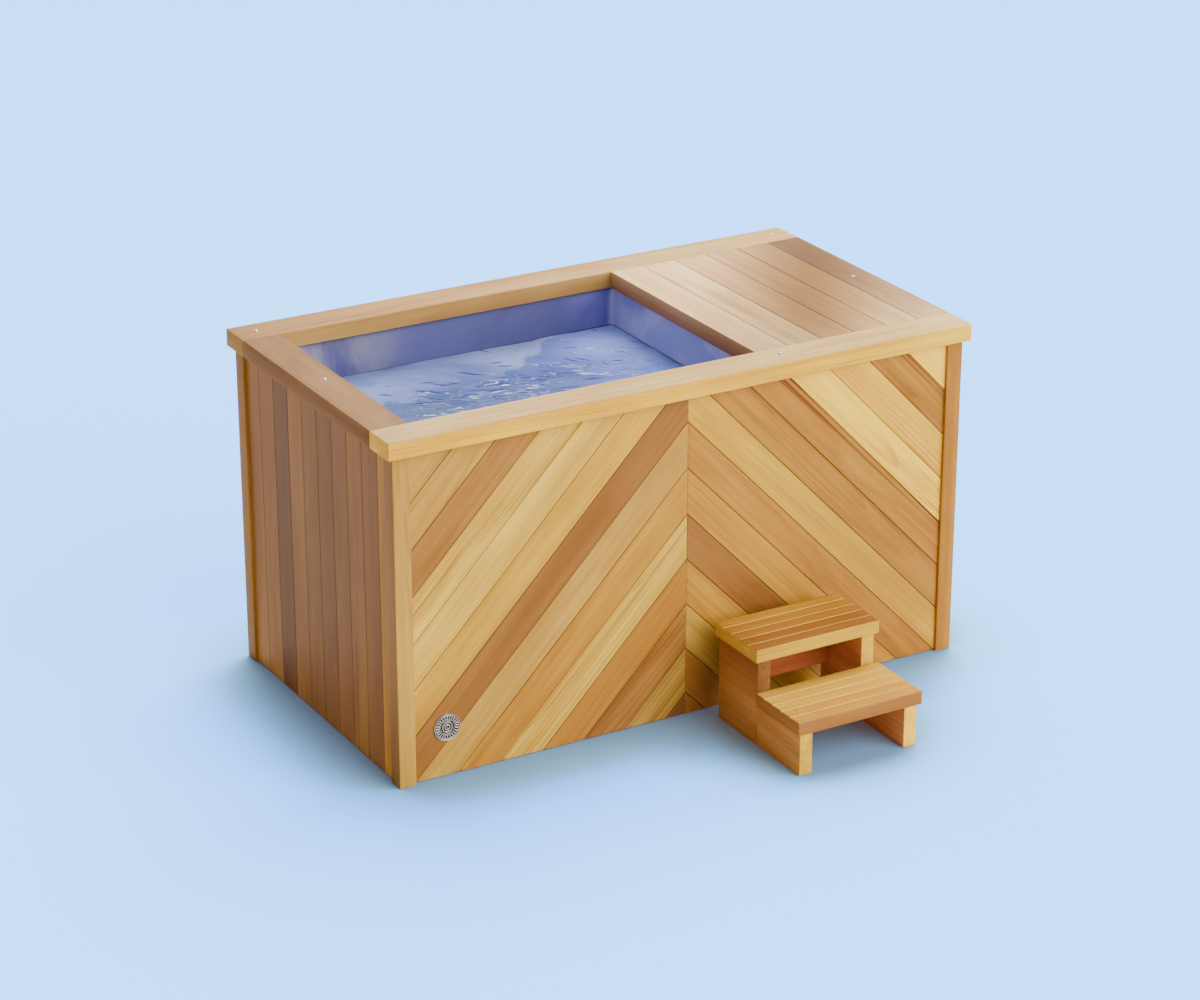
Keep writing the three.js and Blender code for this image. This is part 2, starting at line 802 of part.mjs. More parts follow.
// Chiller: rounded sheet casing with side vents, a shrouded fan mouth towards the door, and the fan's
// motor boss on a bar across the inside
const chillerLeft = unionEnd + chillerPipeSpace;
const chillerRight = doorBack - chillerDoorSpace;
const chillerFar = panelBackY - chillerFarSpace;
const chillerBottom = baseTop + chillerFootHeight;
const chillerTop = chillerBottom + chillerHeight;
const fanY = (chillerNearSide + chillerFar) / 2;
const fanZ = (chillerBottom + chillerTop) / 2;
const barFront = chillerRight - ductDepth;
const bossFront = barFront + motorBossLength;

function casingBox(inset) {
  const spanY = [chillerNearSide + inset, chillerFar - inset];
  const section = roundedRectangle(spanY, [chillerBottom + inset, chillerTop - inset], chillerRound - inset);
  return carry("x", section, chillerLeft + inset, chillerRight - inset, 2);
}

function casingVents() {
  const middle = (chillerLeft + chillerRight) / 2;
  const span = [middle - ventLength / 2, middle + ventLength / 2];
  const across = [chillerNearSide - chillerWall, chillerFar + chillerWall];
  const vents = [];
  for (let i = 0; i < ventCount; i += 1) {
    const low = chillerBottom + 2 * chillerRound + i * ventPitch;
    vents.push(block(span, across, [low, low + ventHeight]));
  }
  return vents;
}

function buildChiller() {
  const atFan = (geometry) => geometry.translate(0, fanY, fanZ);
  const mouth = atFan(rod("x", ductRadius, chillerRight - 2 * chillerWall, chillerRight + chillerWall, 24));
  const sheet = cut(casingBox(0), casingBox(chillerWall), mouth, ...casingVents());
  const shroudRadius = ductRadius + chillerWall;
  const shroud = revolve(
    "x",
    [
      [ductRadius, chillerRight - shroudLength],
      [shroudRadius, chillerRight - shroudLength],
      [shroudRadius, chillerRight - chillerWall / 2],
      [ductRadius, chillerRight - chillerWall / 2],
      [ductRadius, chillerRight - shroudLength],
    ],
    24,
  );
  const barSpan = [chillerNearSide + chillerWall / 2, chillerFar - chillerWall / 2];
  const barLevel = [fanZ - motorBarWidth / 2, fanZ + motorBarWidth / 2];
  const bar = block([barFront - motorBarThickness, barFront], barSpan, barLevel);
  const boss = atFan(rod("x", motorBossRadius, barFront - touch, bossFront));
  const boreFoot = bossFront - fanShaftGrip - touch;
  const bore = atFan(rod("x", fanShaftRadius + turning, boreFoot, bossFront + ductDepth, 16));
  const outlet = rod("x", pipeRadius + touch, chillerLeft - chillerPortLength, chillerLeft + chillerWall);
  outlet.translate(0, returnSide, baseTop + chillerPortHeight);
  const inlet = rod("y", pipeRadius + touch, chillerNearSide - chillerPortLength, chillerNearSide + chillerWall);
  inlet.translate(filterX, 0, baseTop + touch + filterOutletHeight);
  const feet = [];
  for (const x of [chillerLeft + chillerFootInset, chillerRight - chillerFootInset]) {
    for (const y of [chillerNearSide + chillerFootInset, chillerFar - chillerFootInset]) {
      const foot = rod("z", chillerFootRadius, baseTop + touch, chillerBottom + chillerWall / 2, 16);
      feet.push(foot.translate(x, y, 0));
    }
  }
  const casing = join(sheet, atFan(shroud), bar, boss, inlet, outlet, ...feet);
  add(tub, "chiller_casing", cut(casing, bore), finishes.casing);
}

// Axial fan on its shaft: blades widen towards the tip and are pitched round their own length
function buildFan() {
  const fan = groupAt(bossFront + fanHubSpace, fanY, fanZ);
  const hub = revolve("x", [
    [0, -fanHubSpace - fanShaftGrip],
    [fanShaftRadius, -fanHubSpace - fanShaftGrip],
    [fanShaftRadius, 0],
    [fanHubRadius, 0],
    [fanHubRadius, fanHubLength - 6],
    [fanHubRadius - 8, fanHubLength],
    [0, fanHubLength],
  ]);
  const tip = ductRadius - fanTipSpace;
  const blades = [];
  for (let i = 0; i < fanBladeCount; i += 1) {
    const outline = new THREE.Shape();
    outline.moveTo(-bladeRootWidth / 2, fanHubRadius - 8);
    outline.lineTo(bladeRootWidth / 2, fanHubRadius - 8);
    outline.quadraticCurveTo(bladeTipWidth / 2, tip * 0.6, bladeTipWidth / 2, tip * 0.9);
    outline.quadraticCurveTo(0, tip * 1.02, -bladeTipWidth / 2, tip * 0.86);
    outline.quadraticCurveTo(-bladeTipWidth / 2, tip * 0.55, -bladeRootWidth / 2, fanHubRadius - 8);
    const options = { depth: bladeThickness, bevelEnabled: false, curveSegments: 4 };
    const blade = new THREE.ExtrudeGeometry(outline, options).translate(0, 0, -bladeThickness / 2);
    blade.rotateY(Math.PI / 2 - bladePitch);
    blade.rotateX(Math.PI / 2 + (i / fanBladeCount) * 2 * Math.PI);
    blades.push(blade.translate(fanHubLength / 2, 0, 0));
  }
  add(fan, "chiller_fan", join(hub, ...blades), finishes.darkPlastic);

  const guard = groupAt(chillerRight + touch + guardWire, fanY, fanZ);
  const outerRing = ductRadius + 2 * guardWire;
  const wires = [rod("x", guardHubRadius, -guardWire, guardWire)];
  for (let i = 0; i < guardRingCount; i += 1) {
    const radius = outerRing - (i * (outerRing - guardHubRadius)) / guardRingCount;
    wires.push(new THREE.TorusGeometry(radius, guardWire, 4, 20).rotateY(Math.PI / 2));
  }
  for (let i = 0; i < guardSpokeCount; i += 1) {
    const spoke = rod("z", guardWire * 0.8, -outerRing, outerRing, 4);
    wires.push(spoke.rotateX((i / guardSpokeCount) * Math.PI + 0.2));
  }
  add(guard, "fan_guard", join(...wires), finishes.steel);
}

// Pipes between pump, filter, chiller and return fitting
function buildPipes() {
  const inletZ = baseTop + touch + filterInletHeight;
  const pumpRun = [
    [voluteMiddle, suctionPlace.y, pumpOutletTop + touch],
    [voluteMiddle, suctionPlace.y, inletZ],
    [voluteMiddle, filterY, inletZ],
    [filterInletFace - touch, filterY, inletZ],
  ];
  add(tub, "pump_pipe", pipe(pumpRun), finishes.pipe);
  const outletZ = baseTop + touch + filterOutletHeight;
  const filterRun = [
    [filterX, filterOutletFace + touch, outletZ],
    [filterX, chillerNearSide - chillerPortLength - touch, outletZ],
  ];
  add(tub, "filter_pipe", pipe(filterRun), finishes.pipe);
  const portFace = chillerLeft - chillerPortLength - touch;
  const riser = (portFace + unionEnd + touch) / 2;
  const portZ = baseTop + chillerPortHeight;
  const returnRun = [
    [portFace, returnSide, portZ],
    [riser, returnSide, portZ],
    [riser, returnSide, returnPlace.z],
    [unionEnd + touch, returnSide, returnPlace.z],
  ];
  add(tub, "return_pipe", pipe(returnRun), finishes.pipe);
}

// Drain ball valve with a hose outlet, and its lever captured on the stem under a nut
function buildDrainValve() {
  const valve = groupAt(unionEnd + touch, drainPlace.y, drainPlace.z);
  const middle = valveLength / 2;
  const swell = valveBallRadius - valveBodyRadius;
  const body = revolve("x", [
    [0, 0],
    [valveBodyRadius, 0],
    [valveBodyRadius, middle - 3 * swell],
    [valveBallRadius, middle - swell],
    [valveBallRadius, middle + swell],
    [valveBodyRadius, middle + 3 * swell],
    [valveBodyRadius, valveLength],
    [valveOutletRadius, valveLength],
    [valveOutletRadius, valveLength + valveOutletLength],
    [valveOutletBore, valveLength + valveOutletLength],
    [valveOutletBore, valveLength],
    [0, valveLength],
  ]);
  const leverFoot = stemCollarTop + touch;
  const leverTop = leverFoot + leverThickness;
  const stem = revolve(
    "z",
    [
      [0, 0],
      [stemCollarRadius, 0],
      [stemCollarRadius, stemCollarTop],
      [stemRadius, stemCollarTop],
      [stemRadius, leverTop + touch],
      [stemNutRadius, leverTop + touch],
      [stemNutRadius, leverTop + touch + stemNutHeight],
      [0, leverTop + touch + stemNutHeight],
    ],
    16,
  );
  add(valve, "drain_valve", join(body, stem.translate(middle, 0, 0)), finishes.brass);

  const outline = new THREE.Shape();
  outline.absarc(0, 0, leverHubRadius, 0, Math.PI);
  outline.lineTo(-leverWidth / 2, -2 * leverHubRadius);
  outline.absarc(0, -leverLength, leverWidth / 2, Math.PI, 2 * Math.PI);
  outline.lineTo(leverWidth / 2, -2 * leverHubRadius);
  const eye = new THREE.Path();
  eye.absarc(0, 0, stemRadius + turning, 0, 2 * Math.PI);
  outline.holes.push(eye);
  const lever = carry("z", outline, leverFoot, leverTop, 5).translate(middle, 0, 0);
  add(valve, "drain_lever", lever, finishes.filterBlue);
}

// Cable gland through the back boards, low beside the bay
function buildGland() {
  const face = panelFaceY + touch;
  const back = panelBackY - touch;
  const gland = revolve("y", [
    [glandBore, back - glandNutLength],
    [glandNutRadius, back - glandNutLength],
    [glandNutRadius, back],
    [glandRadius, back],
    [glandRadius, face],
    [glandNutRadius, face],
    [glandNutRadius, face + glandNutLength],
    [glandBore + 3, face + glandNutLength + glandDome],
    [glandBore, face + glandNutLength + glandDome],
    [glandBore, back - glandNutLength],
  ]);
  gland.translate(postInX - glandFromRight, 0, glandHeight);
  add(tub, "cable_gland", gland, finishes.darkPlastic);
}

// Access door: stiles and rails with two panels of tilted louvres tenoned into the stiles
function accessDoor() {
  const outer = roundedRectangle([-doorHalf, doorHalf], [doorFloorGap, doorTop], postRound);
  const middle = (doorFloorGap + doorTop) / 2;
  const side = doorHalf - stileWidth;
  const panels = [
    [doorFloorGap + railHeight, middle - railHeight / 2],
    [middle + railHeight / 2, doorTop - railHeight],
  ];
  for (const [low, high] of panels) {
    const hole = new THREE.Path();
    hole.moveTo(-side, low).lineTo(-side, high).lineTo(side, high).lineTo(side, low).lineTo(-side, low);
    outer.holes.push(hole);
  }
  const frame = carry("x", outer, doorBack, postOutX);
  const slat = roundedRectangle(
    [-louvreWidth / 2, louvreWidth / 2],
    [-louvreThickness / 2, louvreThickness / 2],
    louvreThickness / 2 - touch,
  );
  const slats = [];
  for (const [low, high] of panels) {
    const free = high - low - 2 * louvreEndSpace;
    const count = Math.floor(free / louvrePitch);
    for (let i = 0; i <= count; i += 1) {
      const board = carry("y", slat, -side - louvreTenon, side + louvreTenon).rotateY(louvreAngle);
      const z = (low + high) / 2 + (i - count / 2) * louvrePitch;
      slats.push(board.translate((doorBack + postOutX) / 2, 0, z));
    }
  }
  const latchHole = rod("x", latchSpindleRadius + turning, doorBack - doorThickness, postOutX + doorThickness);
  latchHole.translate(0, -doorHalf + latchFromEdge, latchHeight);
  return cut(join(frame, ...slats), latchHole);
}

// Two-leaf pin hinge on the outer faces of the back post and the door, with alternating knuckles
const hingeX = postOutX + knuckleRadius;
const hingeY = postInY - doorGap / 2;

function hingeLeaf(side, own) {
  const low = doorFloorGap + hingeEndSpace;
  const high = doorTop - hingeEndSpace;
  const pitch = (high - low) / knuckleCount;
  const near = hingeY + side * (knuckleRadius + hingeLeafSpace);
  const far = near + side * hingeLeafWidth;
  const thick = [postOutX + touch, postOutX + touch + hingeLeafThickness];
  const pieces = [block(thick, [near, far].sort((a, b) => a - b), [low, high])];
  for (let i = own; i < knuckleCount; i += 2) {
    const from = low + i * pitch + knuckleGap / 2;
    const to = low + (i + 1) * pitch - knuckleGap / 2;
    pieces.push(rod("z", knuckleRadius - touch, from, to, 12).translate(hingeX, hingeY, 0));
    const bridge = [hingeY + side * (hingePinRadius + hingeLeafSpace), near + side].sort((a, b) => a - b);
    pieces.push(block(thick, bridge, [from, to]));
  }
  const leaf = join(...pieces);
  const pin = own ? hingePinRadius + turning : hingePinRadius;
  const core = rod("z", pin, own ? 0 : low, own ? tubHeight : high, 12).translate(hingeX, hingeY, 0);
  return own ? cut(leaf, core) : join(leaf, core);
}

// Turn latch: rose and grip outside, spindle through the stile, and a cam that stands upright when released
function buildLatch() {
  const latch = groupAt(0, -doorHalf + latchFromEdge, latchHeight);
  const face = postOutX + touch;
  const camFront = postInX - latchCamSpace;
  const camBack = camFront - latchCamThickness;
  const rose = revolve("x", [
    [0, camBack],
    [latchSpindleRadius, camBack],
    [latchSpindleRadius, face],
    [latchRoseRadius, face],
    [latchRoseRadius - 2, face + latchRoseThickness],
    [0, face + latchRoseThickness],
  ]);
  const half = latchGripLength / 2;
  const gripShape = roundedRectangle([-latchGripWidth / 2, latchGripWidth / 2], [-half, half], boardRound);
  const gripFoot = face + latchRoseThickness / 2;
  const grip = carry("x", gripShape, gripFoot, gripFoot + latchGripHeight);
  const camHalf = latchCamWidth / 2;
  const camShape = roundedRectangle([-camHalf, camHalf], [-camHalf, latchCamReach], boardRound);
  const cam = carry("x", camShape, camBack, camFront);
  add(latch, "door_latch", join(rose, grip, cam), finishes.steel);
}

function buildDoor() {
  add(tub, "access_door", accessDoor(), finishes.boardWood);
  add(tub, "hinge_fixed_leaf", hingeLeaf(1, 0), finishes.steel);
  add(tub, "hinge_door_leaf", hingeLeaf(-1, 1), finishes.steel);
  buildLatch();
}

// Snap studs on the rim and deck, and a plain dished medallion on the front boards
function buildTrim() {
  const stud = revolve(
    "z",
    [
      [0, 0],
      [studBaseRadius, 0],
      [studBaseRadius, studBaseHeight],
      [studNeckRadius, studBaseHeight],
      [studHeadRadius, studHeight * 0.6],
      [studHeadRadius * 0.8, studHeight * 0.9],
      [0, studHeight],
    ],
    16,
  );
  const edgeX = halfLength - studInset;
  const edgeY = halfWidth - studInset;
  const places = {
    stud_left: [-edgeX, 0],
    stud_back_left: [-edgeX, edgeY],
    stud_back_right: [edgeX, edgeY],
    stud_right: [edgeX, 0],
    stud_front: [openingRight + deckLength / deckPlankCount / 2, -edgeY],
  };
  for (const [name, [x, y]] of Object.entries(places)) {
    add(tub, name, stud.clone().translate(x, y, tubHeight), finishes.silver);
  }

  const back = -panelFaceY - touch;
  const front = back - medallionThickness;
  const disc = revolve(
    "y",
    [
      [0, front + medallionDish],
      [medallionRadius - 2 * medallionRim, front + medallionDish],
      [medallionRadius - medallionRim, front],
      [medallionRadius - 1, front],
      [medallionRadius, front + 1],
      [medallionRadius, back],
      [0, back],
    ],
    40,
  );
  add(tub, "medallion", disc.translate(-postInX + medallionFromPost, 0, medallionHeight), finishes.silver);
}

// Step stool: stepped sides, grooved treads and a stretcher across the back
function treadProfile(front, back, top) {
  const points = [
    [front, top - treadThickness],
    [back, top - treadThickness],
    [back, top],
  ];
  const strip = (back - front) / (treadGrooveCount + 1);
  for (let i = treadGrooveCount; i >= 1; i -= 1) {
    const middle = front + i * strip;
    points.push([middle + treadGrooveWidth / 2, top]);
    points.push([middle, top - treadGrooveDepth]);
    points.push([middle - treadGrooveWidth / 2, top]);
  }
  points.push([front, top]);
  return polygon(points);
}

function buildStool() {
  const stool = groupAt(stoolCentre, -postOutY - stoolGap, 0);
  const half = treadLength / 2;
  const upperFront = -treadDepth;
  const lowerFront = upperFront - treadDepth - touch;
  const lowerUnder = lowerTreadTop - treadThickness - touch;
  const upperUnder = upperTreadTop - treadThickness - touch;
  const sideFront = lowerFront + treadNose;
  const sideStep = upperFront + treadNose;
  const sideBack = -stoolBackInset;
  const outline = polygon([
    [sideFront, 0],
    [sideBack, 0],
    [sideBack, upperUnder],
    [sideStep, upperUnder],
    [sideStep, lowerUnder],
    [sideFront, lowerUnder],
  ]);
  const outer = half - sideInset;
  const inner = outer - sideThickness;
  add(stool, "stool_side_left", carry("x", outline, -outer, -inner), finishes.shadeWood);
  add(stool, "stool_side_right", carry("x", outline, inner, outer), finishes.boardWood);
  const lower = treadProfile(lowerFront, upperFront - touch, lowerTreadTop);
  const upper = treadProfile(upperFront, 0, upperTreadTop);
  add(stool, "stool_tread_lower", carry("x", lower, -half, half), finishes.boardWood);
  add(stool, "stool_tread_upper", carry("x", upper, -half, half), finishes.boardWood);
  const stretcher = roundedRectangle(
    [sideBack - sideThickness, sideBack],
    [upperUnder - stretcherHeight, upperUnder],
    postRound,
  );
  add(stool, "stool_stretcher", carry("x", stretcher, -inner + touch, inner - touch), finishes.shadeWood);
}

buildPosts();
buildBase();
buildCladding();
buildRim();
buildBasin();
buildFittings();
buildPump();
buildFilter();
buildChiller();
buildFan();
buildPipes();
buildDrainValve();
buildGland();
buildDoor();
buildTrim();
buildStool();

export default tub;
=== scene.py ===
import math

import bpy
import numpy as np
from mathutils import Matrix, Vector


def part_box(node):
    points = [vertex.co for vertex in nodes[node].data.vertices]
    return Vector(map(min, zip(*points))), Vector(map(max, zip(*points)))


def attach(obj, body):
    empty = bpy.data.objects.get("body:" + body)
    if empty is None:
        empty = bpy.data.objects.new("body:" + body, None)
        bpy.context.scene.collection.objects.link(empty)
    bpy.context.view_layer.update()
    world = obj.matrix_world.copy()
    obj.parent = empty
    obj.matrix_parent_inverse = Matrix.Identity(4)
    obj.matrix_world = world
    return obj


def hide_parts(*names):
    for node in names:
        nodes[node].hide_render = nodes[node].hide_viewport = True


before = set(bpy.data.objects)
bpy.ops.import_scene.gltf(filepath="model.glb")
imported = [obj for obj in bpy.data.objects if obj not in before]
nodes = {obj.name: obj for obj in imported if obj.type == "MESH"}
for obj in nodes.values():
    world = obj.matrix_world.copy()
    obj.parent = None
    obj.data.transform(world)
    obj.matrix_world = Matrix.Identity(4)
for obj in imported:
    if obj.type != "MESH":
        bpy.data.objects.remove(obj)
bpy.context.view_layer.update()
rng = np.random.default_rng(11)
print("frame loaded:", len(nodes), "nodes")


def nodeBox(name):
    lo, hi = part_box(name)
    return np.array(lo), np.array(hi)


def pick(table, words):
    return [table[word] for word in words.split()]


def camel(node):
    first, *rest = node.split("_")
    return first + "".join(word.capitalize() for word in rest)


# Shells are dictionaries of points, quads and end caps; any other entry is a layer of values at the points
core = 0.0004  # radius at which a turned form closes on its axis
layerKinds = {"grain": ("FLOAT_VECTOR", "vector"), "tone": ("FLOAT_COLOR", "color")}


def gridQuads(rows, cols, wrap=False, wrapRows=False):
    r = np.arange(rows if wrapRows else rows - 1)[:, None]  # one quad per cell of a rows x cols grid
    c = np.arange(cols if wrap else cols - 1)[None, :]
    down, right = (r + 1) % rows, (c + 1) % cols
    return np.stack([r * cols + c, r * cols + right, down * cols + right, down * cols + c], -1).reshape(-1, 4)


def gridBorder(rows, cols):
    index = np.arange(rows * cols).reshape(rows, cols)
    return np.concatenate([index[0], index[1:, -1], index[-1, -2::-1], index[-2:0:-1, 0]])


def shell(points, quads, caps=()):
    tris = [quads[:, :3], quads[:, [0, 2, 3]]]
    tris += [np.stack([np.full(len(c) - 2, c[0]), c[1:-1], c[2:]], -1) for c in caps]
    a, b, c = points[np.concatenate(tris).T]
    if np.einsum("ij,ij->i", a - points.mean(0), np.cross(b - a, c - a)).sum() < 0:  # faces point outwards
        quads, caps = quads[:, ::-1], [cap[::-1] for cap in caps]
    return {"points": points, "quads": quads, "caps": caps}


def carried(rings, closed=False):
    n, m = rings.shape[:2]  # a ring of m points carried through n stations, with flat ends or closed
    caps = [] if closed else [np.arange(m)[::-1], np.arange((n - 1) * m, n * m)]
    return shell(rings.reshape(-1, 3), gridQuads(n, m, True, closed), caps)


def slab(front, back):
    rows, cols = front.shape[:2]  # two matching grids, joined round their border
    n, edge, q = rows * cols, gridBorder(rows, cols), gridQuads(rows, cols)
    after = np.roll(edge, -1)
    rim = np.stack([after, edge, edge + n, after + n], -1)
    points = np.concatenate([front.reshape(-1, 3), back.reshape(-1, 3)])
    return shell(points, np.concatenate([q, q[:, ::-1] + n, rim]))


def roundedRing(width, height, radius, steps=3):
    quarter = np.linspace(0, np.pi / 2, steps + 1)  # a rectangle with four quarter-circle corners
    angle = (np.arange(4)[:, None] * np.pi / 2 + quarter).ravel()
    signU = np.repeat([1, -1, -1, 1], steps + 1)
    signV = np.repeat([1, 1, -1, -1], steps + 1)
    u = signU * (width / 2 - radius) + radius * np.cos(angle)
    v = signV * (height / 2 - radius) + radius * np.sin(angle)
    return np.stack([u, v], -1)


def fullTurn(count):
    return np.linspace(0, 2 * np.pi, count, endpoint=False)


def intoAxis(along, u, v, axis):
    order = [(along, u, v), (u, along, v), (u, v, along)][axis]
    return np.stack(np.broadcast_arrays(*order), -1)


# Loft: rounded rectangles of changing size carried along one axis, round the middle (u, v)
def lofted(axis, along, u, v, widths, heights, radii, steps=3):
    rings = []
    for a, midU, midV, w, h, r in zip(*np.broadcast_arrays(along, u, v, widths, heights, radii)):
        ring = roundedRing(w, h, r, steps)
        rings.append(intoAxis(a, midU + ring[:, 0], midV + ring[:, 1], axis))
    return carried(np.stack(rings))


# Rounded bar: a rounded rectangle carried along one axis and drawn in at both ends by the same round
def bar(lo, hi, axis, radius=0.003, steps=3, stations=2):
    lo, hi = np.asarray(lo, float), np.asarray(hi, float)
    size, middle = hi - lo, (hi + lo) / 2
    u, v = [i for i in range(3) if i != axis]
    q = np.linspace(0, np.pi / 2, steps + 1)
    start, inset = radius * (1 - np.cos(q)), radius * (1 - np.sin(q))
    inner = np.linspace(radius, size[axis] - radius, stations + 2)[1:-1]
    along = lo[axis] + np.concatenate([start, inner, (size[axis] - start)[::-1]])
    insets = np.concatenate([inset, np.zeros(stations), inset[::-1]])
    radii = np.maximum(radius - insets, 2e-5)
    return lofted(axis, along, middle[u], middle[v], size[u] - 2 * insets, size[v] - 2 * insets, radii, steps)


# A bar of wood, with the grain's own coordinates: along, across the wide face, and in depth
def plank(lo, hi, axis, tone, radius=0.003, figure=None, steps=3, stations=2, faces=None):
    made = bar(lo, hi, axis, radius, steps, stations)
    size = np.asarray(hi, float) - np.asarray(lo, float)
    thin, wide = sorted((i for i in range(3) if i != axis), key=lambda i: (size[i], -i))
    local = made["points"] - (np.asarray(lo) + np.asarray(hi)) / 2
    return faceTones(wooden(made, local[:, [axis, wide, thin]], tone, figure), radius, faces)


def faceTones(made, radius, faces):
    lo, hi = made["points"].min(0), made["points"].max(0)
    for face, name in (faces or {}).items():  # faces such as -y or +z in a tone of their own
        i = "xyz".index(face[1])
        away = np.abs(made["points"][:, i] - (hi[i] if face[0] == "+" else lo[i]))
        made["tone"] = blended(made["tone"], tones[name], np.clip(1 - away / radius, 0, 1))
    return made


def blended(a, b, weight):
    return np.asarray(a) * (1 - weight[:, None]) + np.asarray(b) * weight[:, None]


def gradedTone(made, axis, first, last):
    along = made["points"][:, axis]  # the tone changes evenly from one end to the other
    return blended(tones[first], tones[last], (along - along.min()) / np.ptp(along))


# Wood: a tone is a name or (name, vein, feather); figure says how far the board was cut from the pith,
# sideways and in depth, and feather gives a flat-sawn board a row of pointed arches down its middle
def wooden(made, grain, tone, figure=None, edge=0.0):
    tone, vein, *feather = tone if isinstance(tone, tuple) else (tone, rng.uniform(0.15, 0.7))
    if figure is None:
        figure = (rng.uniform(-0.05, 0.05), rng.uniform(0.015, 0.06))
    n = len(grain)
    made["grain"] = grain + np.array([rng.uniform(0, 30), *figure])
    made["tone"] = np.broadcast_to(np.array(tones[tone]) * rng.uniform(0.97, 1.03), (n, 3))
    made["vein"], made["edge"] = np.full(n, vein), np.broadcast_to(edge, n)
    if feather:
        made["feather"], made["middle"] = np.full(n, feather[0]), grain[:, 1]
    return made


# Turned form: a profile of (radius, distance along the axis) carried round the axis; wave scales the radius
def turned(profile, axis, centre, segments=48, closed=False, wave=1.0):
    profile = np.asarray(profile, float)
    angle = fullTurn(segments)
    radius = profile[:, :1] * wave
    points = intoAxis(profile[:, 1:], radius * np.cos(angle), radius * np.sin(angle), axis)
    return carried(points + np.asarray(centre, float), closed)


def banded(profile, low, high, segments, cut):
    angle = fullTurn(segments)  # cuts into the rows from low to high
    along = np.asarray(profile)[:, 1:]
    return 1 - ((along > low - 1e-6) & (along < high + 1e-6)) * cut(angle)


def ribs(profile, low, high, segments, count, depth):
    return banded(profile, low, high, segments, lambda a: depth * (0.5 - 0.5 * np.cos(count * a)) ** 2)


def hexagon(profile, low, high, segments):
    turn = math.pi / 3  # a flat lies at cos(30) / cos(angle from its middle)
    flat = math.cos(turn / 2)
    return banded(profile, low, high, segments, lambda a: 1 - flat / np.cos(a % turn - turn / 2))


def bulged(radius, rise, middle, half):
    t = np.linspace(0, np.pi, 13)  # half an ellipse on a turned profile
    return zip(radius + rise * np.sin(t), middle - half * np.cos(t))


def screwHead(centre, axis, out, radius=0.004, high=0.0008):
    rows = [(1, -0.6), (1, 0.1), (0.93, 0.55), (0.75, 0.9), (0.5, 1), (0.36, 0.95), (0.28, 0.2), (0.02, 0.1)]
    return turned([(r * radius, out * h * high) for r, h in rows], axis, centre, 20)


def swept(path, radius, sides=24):
    path = np.asarray(path, float)  # a circle carried along a path, its frame turned as little as possible
    tangent = np.gradient(path, axis=0)
    tangent /= np.linalg.norm(tangent, axis=1)[:, None]
    normal = np.zeros_like(path)
    start = np.eye(3)[np.argmin(np.abs(tangent[0]))]
    normal[0] = start - tangent[0] * (start @ tangent[0])
    for i in range(1, len(path)):
        normal[i] = normal[i - 1] - tangent[i] * (normal[i - 1] @ tangent[i])
    normal /= np.linalg.norm(normal, axis=1)[:, None]
    other = np.cross(tangent, normal)
    angle = fullTurn(sides)[None, :, None]
    radius = np.broadcast_to(np.asarray(radius, float), len(path))[:, None, None]
    around = np.cos(angle) * normal[:, None] + np.sin(angle) * other[:, None]
    return carried(path[:, None] + radius * around)


def bentPath(corners, bend, step):
    corners = [np.asarray(c, float) for c in corners]  # straight runs with rounded (quadratic) corners
    pieces, start = [], corners[0]
    for before, corner, after in zip(corners, corners[1:], corners[2:]):
        a = corner + (before - corner) * bend / np.linalg.norm(before - corner)
        b = corner + (after - corner) * bend / np.linalg.norm(after - corner)
        pieces.append(np.linspace(start, a, max(2, int(np.linalg.norm(a - start) / step)), endpoint=False))
        t = np.linspace(0, 1, 12, endpoint=False)[:, None]
        pieces.append((1 - t) ** 2 * a + 2 * t * (1 - t) * corner + t**2 * b)
        start = b
    pieces.append(np.linspace(start, corners[-1], 6))
    return np.concatenate(pieces)


def addPiece(shells, material, slotName, node=None, body="tub", name=None, sharp=38):
    name = name or camel(node)
    mesh = bpy.data.meshes.new(name)
    starts = np.cumsum([0] + [len(s["points"]) for s in shells])
    faces = []
    for s, start in zip(shells, starts):
        faces += (s["quads"] + start).tolist() + [(c + start).tolist() for c in s["caps"]]
    mesh.from_pydata(np.concatenate([s["points"] for s in shells]).tolist(), [], faces)
    for word in sorted({word for s in shells for word in s} - {"points", "quads", "caps"}):
        values = np.concatenate([s.get(word, np.zeros(len(s["points"]))) for s in shells])
        if word == "tone":
            values = np.column_stack([values, np.ones(len(values))])
        kind, field = layerKinds.get(word, ("FLOAT", "value"))
        mesh.attributes.new(word, kind, "POINT").data.foreach_set(field, values.astype(np.float32).ravel())
    mesh.shade_smooth()
    mesh.set_sharp_from_angle(angle=math.radians(sharp))
    mesh.materials.append(material)
    mesh.validate()
    piece = bpy.data.objects.new(name, mesh)
    bpy.context.scene.collection.objects.link(piece)
    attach(piece, body)
    if node:
        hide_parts(node)


